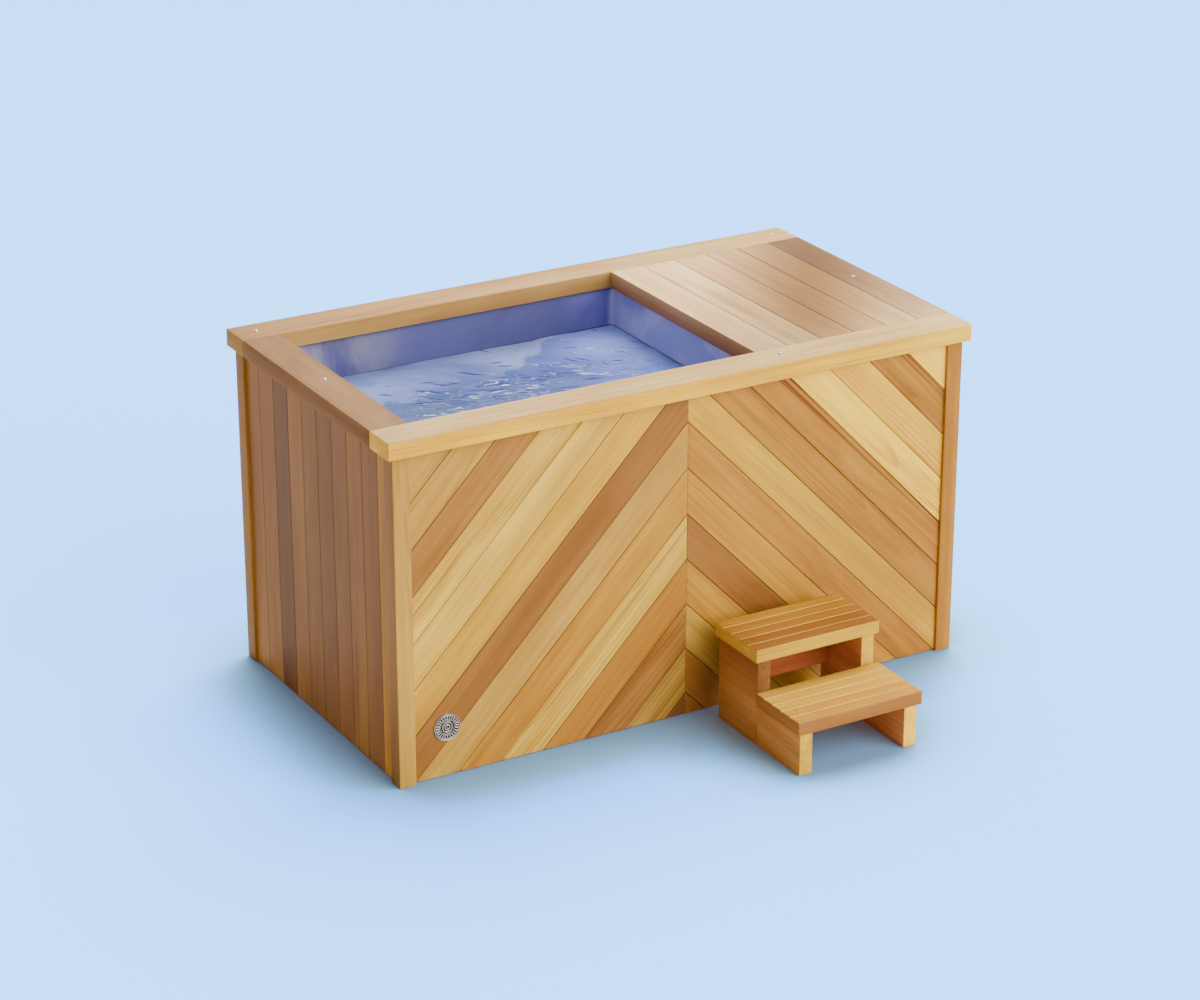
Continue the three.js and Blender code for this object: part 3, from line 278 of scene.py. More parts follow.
# Shader nodes: a signal is one node's output, and sums, products and methods add the nodes that work with it
class Signal:
    def __init__(self, tree, socket):
        self.tree, self.socket = tree, socket

    def calc(self, operation, *others):
        return addNode(self.tree, "Math", enumerate((self, *others)), operation=operation)

    def __add__(self, other):
        return self.calc("ADD", other)

    def __sub__(self, other):
        return self.calc("SUBTRACT", other)

    def __truediv__(self, other):
        return self.calc("DIVIDE", other)

    def __mul__(self, other):
        if isinstance(other, tuple):  # three numbers multiply a vector or a colour part by part
            return addNode(self.tree, "VectorMath", {0: self, 1: other}, operation="MULTIPLY")
        return self.calc("MULTIPLY", other)

    def scaled(self, factor):
        return addNode(self.tree, "VectorMath", {0: self, "Scale": factor}, operation="SCALE")

    def split(self):
        made = self.tree.nodes.new("ShaderNodeSeparateXYZ")
        self.tree.links.new(self.socket, made.inputs[0])
        return [Signal(self.tree, part) for part in made.outputs]

    def mapped(self, **inputs):
        return addNode(self.tree, "Mapping", {"Vector": self, **inputs})

    def smooth(self, low, high, toLow=0.0, toHigh=1.0):
        given = {"Value": self, "From Min": low, "From Max": high, "To Min": toLow, "To Max": toHigh}
        return addNode(self.tree, "MapRange", given, interpolation_type="SMOOTHSTEP")

    def noise(self, stretch, detail=2.0, roughness=0.5, distortion=0.0):
        given = {"Vector": self * stretch, "Scale": 1.0, "Detail": detail, "Roughness": roughness}
        return addNode(self.tree, "TexNoise", {**given, "Distortion": distortion})

    def mix(self, a, b):
        return addNode(self.tree, "Mix", {0: self, 6: a, 7: b}, 2, data_type="RGBA")

    def tint(self, color, factors):
        return self.mix(color, color * factors)


def plug(tree, value, socket):
    if isinstance(value, Signal):
        tree.links.new(value.socket, socket)
    else:
        socket.default_value = (*value, 1) if socket.type == "RGBA" else value


def addNode(tree, kind, inputs=(), output=0, **settings):
    made = tree.nodes.new("ShaderNode" + kind)
    for word, value in settings.items():
        setattr(made, word, value)
    for key, value in dict(inputs).items():
        plug(tree, value, made.inputs[key])
    return Signal(tree, made.outputs[output])


def attribute(tree, name, output="Fac"):
    return addNode(tree, "Attribute", output=output, attribute_name=name)


def objectPlace(tree):
    return addNode(tree, "TexCoord", output="Object")


# A group's inputs are given with their values: none for a vector, three numbers for a colour
def makeGroup(name, **inputs):
    tree = bpy.data.node_groups.new(name, "ShaderNodeTree")
    for label, value in inputs.items():
        kind = "Vector" if value is None else "Color" if isinstance(value, tuple) else "Float"
        socket = tree.interface.new_socket(label, in_out="INPUT", socket_type="NodeSocket" + kind)
        if value is not None:
            socket.default_value = (*value, 1) if kind == "Color" else value
    for label, kind in (("Color", "Color"), ("Roughness", "Float"), ("Height", "Float")):
        tree.interface.new_socket(label, in_out="OUTPUT", socket_type="NodeSocket" + kind)
    return tree, [Signal(tree, socket) for socket in tree.nodes.new("NodeGroupInput").outputs][:len(inputs)]


def closeGroup(tree, *values):
    for value, socket in zip(values, tree.nodes.new("NodeGroupOutput").inputs):
        plug(tree, value, socket)
    return tree


def placeGroup(tree, group, **values):
    made = tree.nodes.new("ShaderNodeGroup")
    made.node_tree = group
    for label, value in values.items():
        plug(tree, value, made.inputs[label])
    return [Signal(tree, socket) for socket in made.outputs]


def newMaterial(name):
    material = bpy.data.materials.new(name)
    material.use_nodes = True
    return material, material.node_tree


def setShader(tree, inputs):
    for label, value in inputs.items():
        plug(tree, value, tree.nodes["Principled BSDF"].inputs[label])


def bump(tree, height, strength, distance):
    return addNode(tree, "Bump", {"Strength": strength, "Distance": distance, "Height": height})


# Cedar grain in a board's own coordinates (along, across, depth): growth rings are cones round the pith,
# ring = fract(sqrt(across^2 + (depth + taper * along)^2) / spacing), cut by the board's faces into arches.
# Vein says how strongly one board shows its rings and its clusters of dark lines.
def cedarGroup():
    tree, (place, tone, vein, contrast, spacing, streaks, feather, middle) = makeGroup(
        "cedarGrain", Grain=None, Tone=(0.6, 0.35, 0.14), Vein=0.5, Contrast=0.6, Spacing=0.004, Streaks=0.5,
        Feather=0.0, Middle=0.0)
    along, across, depth = place.split()
    sway = (place.noise((1.1, 4, 4)) - 0.5) * 0.045
    lift = (place.noise((2.3, 9, 9), 3.0) - 0.5) * 0.012
    jitter = (place.noise((5, 90, 90)) - 0.5) * 0.0016
    side, deep = across + sway, along * 0.012 + depth + lift
    radius = (side * side + deep * deep).calc("SQRT")
    ring = ((radius + jitter) / spacing).calc("FRACT")
    late = ring.smooth(0.35, 0.92) * ring.smooth(0.99, 0.92)
    mask = late * place.noise((1.1, 13, 13)).smooth(0.36, 0.66, 0.1, 1.0) * (contrast * vein)
    # clusters of thin dark lines
    strong = vein * vein
    cluster = (strong * 0.09 + place.noise((0.8, 21, 21), 1.0)).smooth(0.52, 0.60)
    line = place.noise((1.3, 260, 260), 2.0, 0.6).smooth(0.49, 0.59) * cluster * strong
    # feather: arches, fract((along + 3.4 * distance from the middle) / pitch), in a strip down the board
    off = (middle + sway * 0.6).calc("ABSOLUTE")
    arch = ((off * 3.4 + (jitter * 5.0 + along)) / 0.030).calc("FRACT")
    strip = off.smooth(0.032, 0.010) * place.noise((7, 16, 16)).smooth(0.42, 0.58)
    arch = arch.smooth(0.35, 0.85) * arch.smooth(1.0, 0.88) * strip * feather
    # slow changes of tone along the board, then streaks and fibres
    broad = place.noise((2.2, 12, 12), 3.0, 0.55, 0.4).smooth(0.30, 0.72)
    streak = place.noise((1.3, 75, 75), 5.0, 0.6) - 0.5
    fibre = place.noise((10, 620, 620))
    color = broad.mix(tone * (1.10, 1.12, 1.16), tone * (0.86, 0.77, 0.66))
    for mark, factors in ((mask, (0.66, 0.50, 0.38)), (arch, (0.70, 0.60, 0.48)), (line, (0.42, 0.26, 0.18))):
        color = mark.tint(color, factors)
    color = color.scaled((streak * streaks + 1.0) * ((fibre - 0.5) * 0.22 + 1.0))
    return closeGroup(tree, color, fibre * 0.22 + (mask * -0.10 + 0.36), fibre * 0.6 + late * 0.5)


# Dust and soft blotches on Object coordinates, for plastics, paint and metal
def blotchGroup():
    tree, (place, color, amount, roughness) = makeGroup(
        "softBlotch", Place=None, Color=(0.5, 0.5, 0.5), Amount=0.15, Roughness=0.4)
    cloud = place.noise((14, 14, 14), 4.0, 0.6) - 0.5
    speck = place.noise((900, 900, 900))
    rough = (speck - 0.5) * 0.08 + (cloud * 0.25 + roughness)
    return closeGroup(tree, color.scaled(cloud * amount + 1.0), rough, speck)


cedarGrain = cedarGroup()
softBlotch = blotchGroup()

tones = {  # linear colours of the oiled boards, roughly from pale to dark
    "cream": (0.95, 0.60, 0.045),
    "sun": (0.82, 0.49, 0.038),
    "straw": (0.66, 0.43, 0.055),
    "butter": (0.70, 0.44, 0.026),
    "wheat": (0.56, 0.32, 0.028),
    "gold": (0.58, 0.335, 0.034),
    "clay": (0.58, 0.29, 0.070),
    "tan": (0.49, 0.29, 0.047),
    "honey": (0.48, 0.24, 0.025),
    "maple": (0.44, 0.222, 0.023),
    "amber": (0.41, 0.19, 0.024),
    "biscuit": (0.38, 0.225, 0.066),
    "ginger": (0.35, 0.150, 0.030),
    "copper": (0.325, 0.150, 0.029),
    "toffee": (0.31, 0.128, 0.017),
    "brick": (0.30, 0.113, 0.036),
    "russet": (0.27, 0.116, 0.023),
    "umber": (0.23, 0.098, 0.022),
    "coffee": (0.18, 0.068, 0.015),
    "sheenPale": (0.77, 0.50, 0.25),  # the top faces, paler or browner than the edges; the palest is a painted sheen
    "linen": (0.65, 0.45, 0.170),
    "sand": (0.57, 0.360, 0.132),
    "oat": (0.40, 0.255, 0.105),
    "flax": (0.26, 0.133, 0.042),
    "bark": (0.235, 0.112, 0.019),
    "drift": (0.188, 0.099, 0.037),
    "walnut": (0.150, 0.066, 0.0145),
    "chestnut": (0.24, 0.096, 0.045),  # the deck's edges
    "cocoa": (0.31, 0.165, 0.070),
    "ember": (0.75, 0.31, 0.105),  # painted bounce light on shaded faces of the stool
    "sienna": (0.54, 0.155, 0.055),
}


def cedar(name, contrast=0.75, spacing=0.0042, streaks=0.8, specular=0.22):
    material, tree = newMaterial(name)
    color, roughness, height = placeGroup(
        tree, cedarGrain, Grain=attribute(tree, "grain", "Vector"), Tone=attribute(tree, "tone", "Color"),
        Vein=attribute(tree, "vein"), Contrast=contrast, Spacing=spacing, Streaks=streaks,
        Feather=attribute(tree, "feather"), Middle=attribute(tree, "middle"))
    # painted shade: the edge layer darkens the wood beside the seams
    shade = attribute(tree, "edge").smooth(0.0, 1.0, 1.0, 0.55)
    setShader(tree, {"Base Color": color.scaled(shade), "Roughness": roughness,
                     "Specular IOR Level": specular, "Normal": bump(tree, height, 0.35, 0.0006)})
    return material


def plainWood(name, color, turn=0.0, contrast=0.5):
    material, tree = newMaterial(name)
    place = objectPlace(tree).mapped(Rotation=(0, 0, turn), Location=(3.0, 0.03, 0.05))
    color, roughness, height = placeGroup(tree, cedarGrain, Grain=place, Tone=color, Vein=0.7,
                                          Contrast=contrast, Spacing=0.007, Streaks=0.5)
    setShader(tree, {"Base Color": color, "Roughness": roughness + 0.25,
                     "Normal": bump(tree, height, 0.4, 0.001)})
    return material


def blotched(name, color, roughness, amount, metallic=0.0, coat=0.0, relief=0.0001):
    material, tree = newMaterial(name)
    color, roughness, height = placeGroup(tree, softBlotch, Place=objectPlace(tree), Color=color,
                                          Amount=amount, Roughness=roughness)
    setShader(tree, {"Base Color": color, "Roughness": roughness, "Metallic": metallic, "Coat Weight": coat,
                     "Normal": bump(tree, height, 0.2, relief)})
    return material


boardCedar = cedar("boardCedar")
shadeCedar = cedar("shadeCedar", contrast=0.35, streaks=0.3)
rimCedar = cedar("rimCedar", contrast=0.5, streaks=0.6, specular=0.10)
stoolCedar = cedar("stoolCedar", contrast=0.6, spacing=0.005)
doorCedar = cedar("doorCedar", contrast=0.55)
silverMetal = blotched("silverMetal", (0.62, 0.63, 0.65), 0.28, 0.2, metallic=1.0)
hingeSteel = blotched("hingeSteel", (0.44, 0.45, 0.47), 0.36, 0.3, metallic=1.0)
darkSteel = blotched("darkSteel", (0.10, 0.085, 0.07), 0.45, 0.3, metallic=1.0)
valveBrass = blotched("valveBrass", (0.62, 0.42, 0.14), 0.30, 0.3, metallic=1.0)
pipeWhite = blotched("pipeWhite", (0.78, 0.79, 0.78), 0.42, 0.08)
fittingWhite = blotched("fittingWhite", (0.70, 0.73, 0.77), 0.35, 0.08)
darkPlastic = blotched("darkPlastic", (0.025, 0.027, 0.03), 0.45, 0.4)
filterBlue = blotched("filterBlue", (0.02, 0.06, 0.16), 0.35, 0.3, coat=0.2)
motorPaint = blotched("motorPaint", (0.10, 0.13, 0.16), 0.42, 0.2, coat=0.15, relief=0.0004)
coilMetal = blotched("coilMetal", (0.20, 0.21, 0.22), 0.38, 0.3, metallic=1.0)
casingPaint = blotched("casingPaint", (0.66, 0.68, 0.70), 0.40, 0.06, coat=0.1, relief=0.0004)
insulationFoam = blotched("insulationFoam", (0.80, 0.77, 0.68), 0.95, 0.2, relief=0.002)
frameWood = plainWood("frameWood", (0.4678, 0.2705, 0.1170), math.pi / 2)
plywood = plainWood("plywood", (0.5776, 0.3916, 0.1878), contrast=0.35)
print("materials ready")

# Cladding: V seams between the boards, with painted shade making the boards darker towards the bottom of each
# seam
seam = {"width": 0.0014, "depth": 0.0024, "shadeWidth": 0.0022, "middle": 0.0006}

chevron = {
    "pitch": 0.084,
    "angle": math.radians(46),
    "foot": 0.062,
    "topRow": 13,
    "margin": 0.0002,
    "leastWidth": 0.002,
    "firstStation": 0.006,
    # boards from the outer top corner down to the middle of the floor
    "left": [("tan", 0.5), ("tan", 0.5), ("tan", 0.8), ("copper", 0.35), ("straw", 0.8, 0.8), ("straw", 0.3),
             ("wheat", 0.2), ("russet", 0.3), ("tan", 0.3), ("honey", 0.5), ("straw", 0.7), ("amber", 0.3),
             ("copper", 0.8), ("tan", 0.9), ("umber", 0.4)],
    "right": [("cream", 0.2), ("cream", 0.2), ("amber", 1.0), ("sun", 0.8), ("cream", 0.8), ("amber", 1.0),
              ("amber", 0.55), ("wheat", 0.2), ("amber", 0.35), ("honey", 0.3), ("russet", 0.3),
              ("honey", 0.4), ("tan", 0.4), ("ginger", 0.3), ("ginger", 0.3)],
}


# painted shade beside a seam: 1 at the seam, fading to 0 at the shade width
def seamShade(gap):
    return np.clip(1 - np.tile(gap.ravel(), 2) / seam["shadeWidth"], 0, 1)  # on the front and back of a slab


# One diagonal board: x runs out from the centre line, z between two falling seams, clipped to the panel;
# the face dips by seam depth * (1 - distance to the nearest seam / seam width).
def chevronBoard(side, row, tone, lo, hi):
    slope, c, s = (f(chevron["angle"]) for f in (math.tan, math.cos, math.sin))
    rise = chevron["pitch"] / c
    low = chevron["foot"] + row * rise
    first = max(0.0, (low - hi[2]) / slope + chevron["margin"])
    last = min(hi[0] - lo[0], (low + rise - lo[2]) / slope - chevron["margin"])
    if last - first < chevron["leastWidth"]:
        return []
    breaks = [b for b in ((low - lo[2]) / slope, (low + rise - hi[2]) / slope) if first < b < last]
    breaks += [first + seam["width"], first + chevron["firstStation"]]
    x = np.unique(np.concatenate([np.linspace(first, last, 40), breaks]))
    zLow = np.maximum(low - x * slope, lo[2])
    height = (np.minimum(low + rise - x * slope, hi[2]) - zLow)[:, None]
    near = np.minimum(np.array([[0.0, 0.5, 1.0, 2.2]]) * seam["width"] / c, height * 0.2 * np.arange(4) / 3)
    body = near[:, -1:] + (height - 2 * near[:, -1:]) * np.linspace(0, 1, 6)[1:-1]
    z = zLow[:, None] + np.concatenate([near, body, height - near[:, ::-1]], 1)
    x = np.broadcast_to(x[:, None], z.shape)
    line = low - x * slope
    gap = np.minimum(np.abs(z - line), np.abs(line + rise - z)) * c
    gap = np.minimum(gap, x + seam["width"] - seam["middle"])
    front = np.stack([side * x, lo[1] + seam["depth"] * np.clip(1 - gap / seam["width"], 0, 1), z], -1)
    back = front.copy()
    back[..., 1] = hi[1]
    made = slab(front, back)
    out, deep, up = ((made["points"] - (0, lo[1], low + rise / 2)) * (side, 1, 1)).T
    grain = np.stack([out * c - up * s, out * s + up * c, deep], -1)
    return [wooden(made, grain, tone, edge=seamShade(gap))]


for side, word in ((-1, "left"), (1, "right")):
    node = "front_boards_" + word
    lo, hi = nodeBox(node)
    lo[0], hi[0] = 0.0, max(abs(lo[0]), abs(hi[0]))
    boards = []
    for i, tone in enumerate(chevron[word]):
        boards += chevronBoard(side, chevron["topRow"] - i, tone, lo, hi)
    addPiece(boards, boardCedar, "board_wood", node)
print("front boards made")


# Upright boards on the wall that faces outward along one axis: u across the wall between seams, z up, the
# face dipping at the inner seams only; the last argument gives tone factors at heights from the floor to the
# top, painted light as if thrown up from the floor
def uprightBoards(node, axis, outward, toneNames, floorBounce=None):
    lo, hi = nodeBox(node)
    face, back = (lo[axis], hi[axis])[::-outward]
    u0, u1, w = lo[1 - axis], hi[1 - axis], seam["width"]
    seams = np.arange(u1 - endBoards["first"], u0 + w, -endBoards["pitch"])[::-1]
    cuts = np.concatenate([[u0], seams, [u1]])
    made = []
    for i, (a, b) in enumerate(zip(cuts, cuts[1:])):
        near = np.array([0, 0.5, 1, 2]) * w
        u = np.concatenate([a + near, np.linspace(a, b, 7)[1:-1], b - near[::-1]])
        z = lo[2] + (hi[2] - lo[2]) * np.linspace(0, 1, 14) ** 1.6
        u, z = np.meshgrid(u, z, indexing="ij")
        gap = np.minimum(u - a if i else 9.0, b - u if i + 2 < len(cuts) else 9.0)
        dip = seam["depth"] * np.clip(1 - gap / w, 0, 1) * np.sign(back - face)
        board = slab(intoAxis(face + dip, u, z, axis), intoAxis(back, u, z, axis))
        p = board["points"]
        grain = [p[:, 2] - (lo[2] + hi[2]) / 2, p[:, 1 - axis] - (a + b) / 2, np.abs(p[:, axis] - face)]
        board = wooden(board, np.stack(grain, -1), toneNames[i % len(toneNames)], edge=seamShade(gap))
        if floorBounce:
            height = (p[:, 2] - lo[2]) / (hi[2] - lo[2])
            factors = [np.interp(height, floorBounce["heights"], floorBounce[c]) for c in ("red", "green", "blue")]
            board["tone"] = board["tone"] * np.stack(factors, -1)
        made.append(board)
    return made


endBoards = {
    "pitch": 0.082,
    "first": 0.075,
    "left": "honey russet copper russet umber russet copper coffee copper copper".split(),
    # painted light from the floor: the left end boards are lighter near it
    "leftFloorBounce": {"heights": (0, 0.03, 0.10, 0.30, 0.50, 1),
                   "red": (1.95, 1.65, 1.25, 0.97, 0.90, 0.88),
                   "green": (2.05, 1.65, 1.20, 0.90, 0.82, 0.80),
                   "blue": (2.3, 1.85, 1.25, 0.87, 0.76, 0.72)},
    "back": "honey amber tan russet honey straw amber honey tan amber russet honey".split(),
}
leftBoards = uprightBoards("left_end_boards", 0, -1, endBoards["left"], endBoards["leftFloorBounce"])
addPiece(leftBoards, shadeCedar, "shade_wood", "left_end_boards")
addPiece(uprightBoards("back_boards", 1, 1, endBoards["back"]), boardCedar, "shade_wood", "back_boards")

posts = {"post_front_left": ("tan", "copper"), "post_front_right": ("amber", "amber"),
         "post_back_left": ("amber", "copper"), "post_back_right": ("honey", "honey")}
for node, (tone, sideTone) in posts.items():
    post = plank(*nodeBox(node), 2, tone, 0.002, faces={"-x": sideTone})
    addPiece([post], boardCedar, "board_wood" if "front" in node else "shade_wood", node)
print("cladding and posts made")

# Rim and deck: a painted sheen lies pale over the deck's tops, except in a browner band that runs slantwise
# over them
rimBoards = {  # direction of the grain, tones of the top from one end to the other, tones of the edges; the front and back rails are painted paler towards the right end, as lit from there
    "rim_front": (0, "oat", "linen", "sun", "cream"),
    "rim_back": (0, "flax", "sand", "biscuit", "biscuit"),
    "rim_left": (1, "drift", "drift", "umber", "umber"),
    "deck_plank_1": (1, "oat", "sheenPale", "chestnut", "chestnut"),
    "deck_plank_2": (1, "oat", "sheenPale", "cocoa", "cocoa"),
    "deck_plank_3": (1, "bark", "sheenPale", "cocoa", "cocoa"),
    "deck_plank_4": (1, "bark", "sheenPale", "cocoa", "cocoa"),
    "deck_plank_5": (1, "bark", "sheenPale", "cocoa", "cocoa"),
    "deck_plank_6": (1, "walnut", "sheenPale", "cocoa", "cocoa"),
}
sheenBand = {"x": 0.479, "y": -0.20, "slope": 1.37, "reach": 0.68, "spread": 3.0, "spreadFrom": 0.70}
edgeRound = {"rim": 0.003, "deck": 0.0016}
for node, (axis, first, last, edgeFirst, edgeLast) in rimBoards.items():
    lo, hi = nodeBox(node)
    kind = node.split("_")[0]
    grain = (first, 0.5, 1.0) if node == "deck_plank_2" else first
    board = plank(lo, hi, axis, grain, edgeRound[kind], steps=4, stations=16)
    x, y, z = board["points"].T
    top = gradedTone(board, axis, first, last)
    # painted sheen: pale over the deck, giving way to the plank's own tone in the band
    if kind == "deck":
        away = np.abs(y - sheenBand["y"] - sheenBand["slope"] * (x - sheenBand["x"]))
        away /= sheenBand["reach"] + sheenBand["spread"] * np.maximum(0, x - sheenBand["spreadFrom"])
        away = np.clip(away, 0, 1)
        top = blended(tones[first], tones[last], away * away * (3 - 2 * away))
    edges = gradedTone(board, axis, edgeFirst, edgeLast)
    board["tone"] = blended(edges, top, np.clip(1 - (hi[2] - z) / edgeRound["rim"], 0, 1))
    addPiece([board], rimCedar, "rim_wood", node)
print("rim and deck made")

basin = {"wall": 0.008, "corner": 0.014, "cove": 0.016, "flange": 0.008, "waterLevel": 0.748,
         "lineHeight": 0.004, "wallX": (-0.738, 0.254), "wallY": (-0.370, 0.370), "lip": 0.003,
         "flangeCorner": 0.004}


def linerMaterial():
    material, tree = newMaterial("basinLiner")
    place = objectPlace(tree)
    x, y, z = place.split()
    smear = place.noise((7.0, 7.0, 2.4), 4.0, 0.55, 0.5)  # light thrown up by the water, drawn out upwards
    cloud = place.noise((3.0, 3.6, 6.0), 4.0, 0.6, 0.6)
    # painted reflection: a grey wash of light over the left of the liner, full at its far left end
    grey = smear.smooth(0.30, 0.60) * (x.smooth(-0.28, -0.66) * 0.85 + 0.03)
    grey = grey.calc("MAXIMUM", x.smooth(-0.60, -0.70))
    color = cloud.smooth(0.36, 0.66).mix((0.016, 0.016, 0.12), (0.032, 0.035, 0.165))
    color = grey.mix(color, (0.175, 0.17, 0.24))
    # painted light: the far left end lighter still, against the shade of the left rim
    color = x.smooth(-0.58, -0.70).tint(color, (1.9, 1.8, 1.4))
    color = x.smooth(0.06, 0.235).tint(color, (2.7, 2.4, 2.1))  # lighter where the rim shades it
    endWallLight = cloud.smooth(0.40, 0.62).mix((0.175, 0.195, 0.53), (0.27, 0.285, 0.60))
    endWallLight = y.smooth(0.10, 0.36).tint(endWallLight, (0.72, 0.72, 0.80))
    color = x.smooth(0.225, 0.243).mix(color, endWallLight)  # the end wall, painted much lighter against the shade it lies in, and a little darker towards the back corner
    above = z - basin["waterLevel"]
    line = above.smooth(-0.004, 0.0) * above.smooth(basin["lineHeight"], 0.0015)
    color = (line * 0.8).mix(color, (0.02, 0.02, 0.10))
    setShader(tree, {"Base Color": color, "Roughness": cloud * 0.2 + 0.30, "Specular IOR Level": 0.2,
                     "Normal": bump(tree, cloud, 0.15, 0.004)})
    return material


# Basin skin: rounded rectangles stepped up the outside, over the flange and down the inside to the floor;
# at the cove the rectangle draws in by cove * (1 - sin a) while it rises by cove * (1 - cos a).
def basinShell():
    lo, hi = nodeBox("basin")
    wall, corner, flange, lip = pick(basin, "wall corner flange lip")
    top, rings = hi[2], []

    def inset(e, radius, z):
        (x0, x1), (y0, y1) = basin["wallX"], basin["wallY"]
        rings.append((x0 + e, x1 - e, y0 + e, y1 - e, radius, z))

    def cove(within, thick, floor, angles):
        reach = basin["cove"] + thick
        for a in angles:
            drawn, raised = reach * (1 - math.sin(a)), reach * (1 - math.cos(a))
            inset(within + drawn, max(corner + thick - drawn, 0.001), floor + raised)

    angles = np.linspace(0, np.pi / 2, 9)
    cove(0.0, wall, lo[2], angles)
    inset(0.0, corner + wall, top - flange)
    rings += [(lo[0], hi[0], lo[1], hi[1], basin["flangeCorner"], z) for z in (top - flange, top)]
    inset(wall - lip, corner + lip, top)
    inset(wall, corner, top - lip)
    cove(wall, 0.0, lo[2] + wall, angles[::-1])
    x0, x1, y0, y1, radius, z = np.array(rings).T
    return lofted(2, z, (x0 + x1) / 2, (y0 + y1) / 2, x1 - x0, y1 - y0, radius, 8)


addPiece([basinShell()], linerMaterial(), "liner", "basin", name="basinShell", sharp=50)

water = {
    "rows": 340, "cols": 250, "bottom": 0.0875,
    "x": (-0.7295, 0.2455), "y": (-0.3615, 0.3615),
    "swells": 16, "swellLength": (0.06, 0.30), "swellHeight": 0.00022,
    "crestTurn": math.radians(-30),  # the ripples' crests lie this way, seen from above
    # patches of ripples: how many, middle, spread, half length, half width, height, darkness, brightness;
    # darkness and brightness are painted shade and painted highlight on the two slopes
    "ripples": [
        (30, (0.06, 0.14), (0.13, 0.15), 0.018, 0.0036, 0.00045, 1.00, 0.30),
        (26, (-0.14, 0.10), (0.10, 0.05), 0.016, 0.0038, 0.00060, 1.00, 0.45),
        (18, (-0.27, 0.075), (0.06, 0.03), 0.018, 0.0042, 0.00090, 1.00, 0.70),
        (18, (-0.44, 0.08), (0.07, 0.06), 0.022, 0.0040, 0.00050, 0.90, 0.45),
        (7, (-0.42, 0.25), (0.09, 0.05), 0.018, 0.0042, 0.00040, 0.95, 0.30),
        (40, (-0.24, -0.15), (0.22, 0.10), 0.022, 0.0044, 0.00050, 0.85, 0.40),
    ],
    # where thin lines of light and dark crowd together: middle, spread, strength
    "glints": [((-0.27, 0.08), (0.09, 0.045), 1.0), ((-0.46, 0.07), (0.09, 0.05), 0.6),
               ((-0.10, 0.11), (0.09, 0.05), 0.7), ((0.07, 0.16), (0.12, 0.13), 0.4),
               ((-0.20, -0.15), (0.25, 0.12), 0.5)],
    # the line the calm patch lies behind; it leans to the back past turnX, and its waves have a height, a
    # frequency and a phase
    "calmLine": {"y": 0.135, "turnX": -0.22, "lean": 0.78, "soft": 0.07,
                 "waves": ((0.012, 70, 0.0), (0.010, 31, 1.0))},
}


def waterMaterial():
    material, tree = newMaterial("basinWater")
    place = objectPlace(tree)
    x, y, _ = place.split()
    crest = place.mapped(Rotation=(0, 0, -water["crestTurn"]))  # along the crests, then across them
    cloud = place.noise((3.2, 4.5, 1), 4.0, 0.55, 0.8)
    feather = crest.noise((17, 5, 1), 4.0, 0.6, 0.5) - 0.5
    still = (feather * 1.3 + attribute(tree, "calm")).smooth(0.30, 0.75)
    deepWater = x.smooth(-0.45, 0.05).mix((0.044, 0.078, 0.19), (0.056, 0.082, 0.27))
    deepWater = cloud.smooth(0.35, 0.68).tint(deepWater, (1.35, 1.25, 1.12))
    # painted reflection: the calm patch is pale as if it mirrored a bright light, a little darker across its
    # middle
    calmReflection = cloud.smooth(0.35, 0.65).mix((0.100, 0.130, 0.28), (0.165, 0.200, 0.39))
    calmReflection = (x.smooth(-0.60, -0.40) * x.smooth(-0.12, -0.28)).tint(calmReflection, (0.68, 0.71, 0.82))
    color = still.mix(deepWater, calmReflection)
    # painted light: the back and right edges lie in the rim's shade and are painted lighter, so the water
    # there still looks clear
    color = y.smooth(0.12, 0.36).tint(color, (1.35, 1.35, 1.35))
    color = x.smooth(-0.05, 0.22).tint(color, (2.7, 2.5, 2.1))
    ripple = attribute(tree, "ripple")
    # painted shade on one slope of each ripple and a painted highlight on the other
    color = ripple.smooth(0.12, 0.60, 0.0, 0.8).mix(color, (0.016, 0.020, 0.12))
    color = ripple.smooth(-0.30, -0.95).mix(color, (0.60, 0.68, 0.86))
    # thin lines along two levels of a noise, one light and one dark, where the glints are
    level = crest.noise((11, 33, 1), 2.0, 0.5, 0.9)
    glint = attribute(tree, "glint")
    bright = crest.noise((10, 20, 1)).smooth(0.52, 0.62)  # few of the lines catch the light
    dim = (level - 0.56).calc("ABSOLUTE").smooth(0.040, 0.012)
    lit = (level - 0.50).calc("ABSOLUTE").smooth(0.026, 0.008)
    color = (dim * (glint * 0.60)).mix(color, (0.025, 0.035, 0.14))
    color = (lit * (bright * 0.85 + 0.10) * glint).mix(color, (0.70, 0.76, 0.90))
    fine = crest.noise((30, 95, 1), 2.0, 0.5, 0.8)
    setShader(tree, {"Base Color": color, "Roughness": 0.07, "IOR": 1.333,
                     "Normal": bump(tree, fine * (still * -1.0 + 1.0), 0.25, 0.002)})
    return material


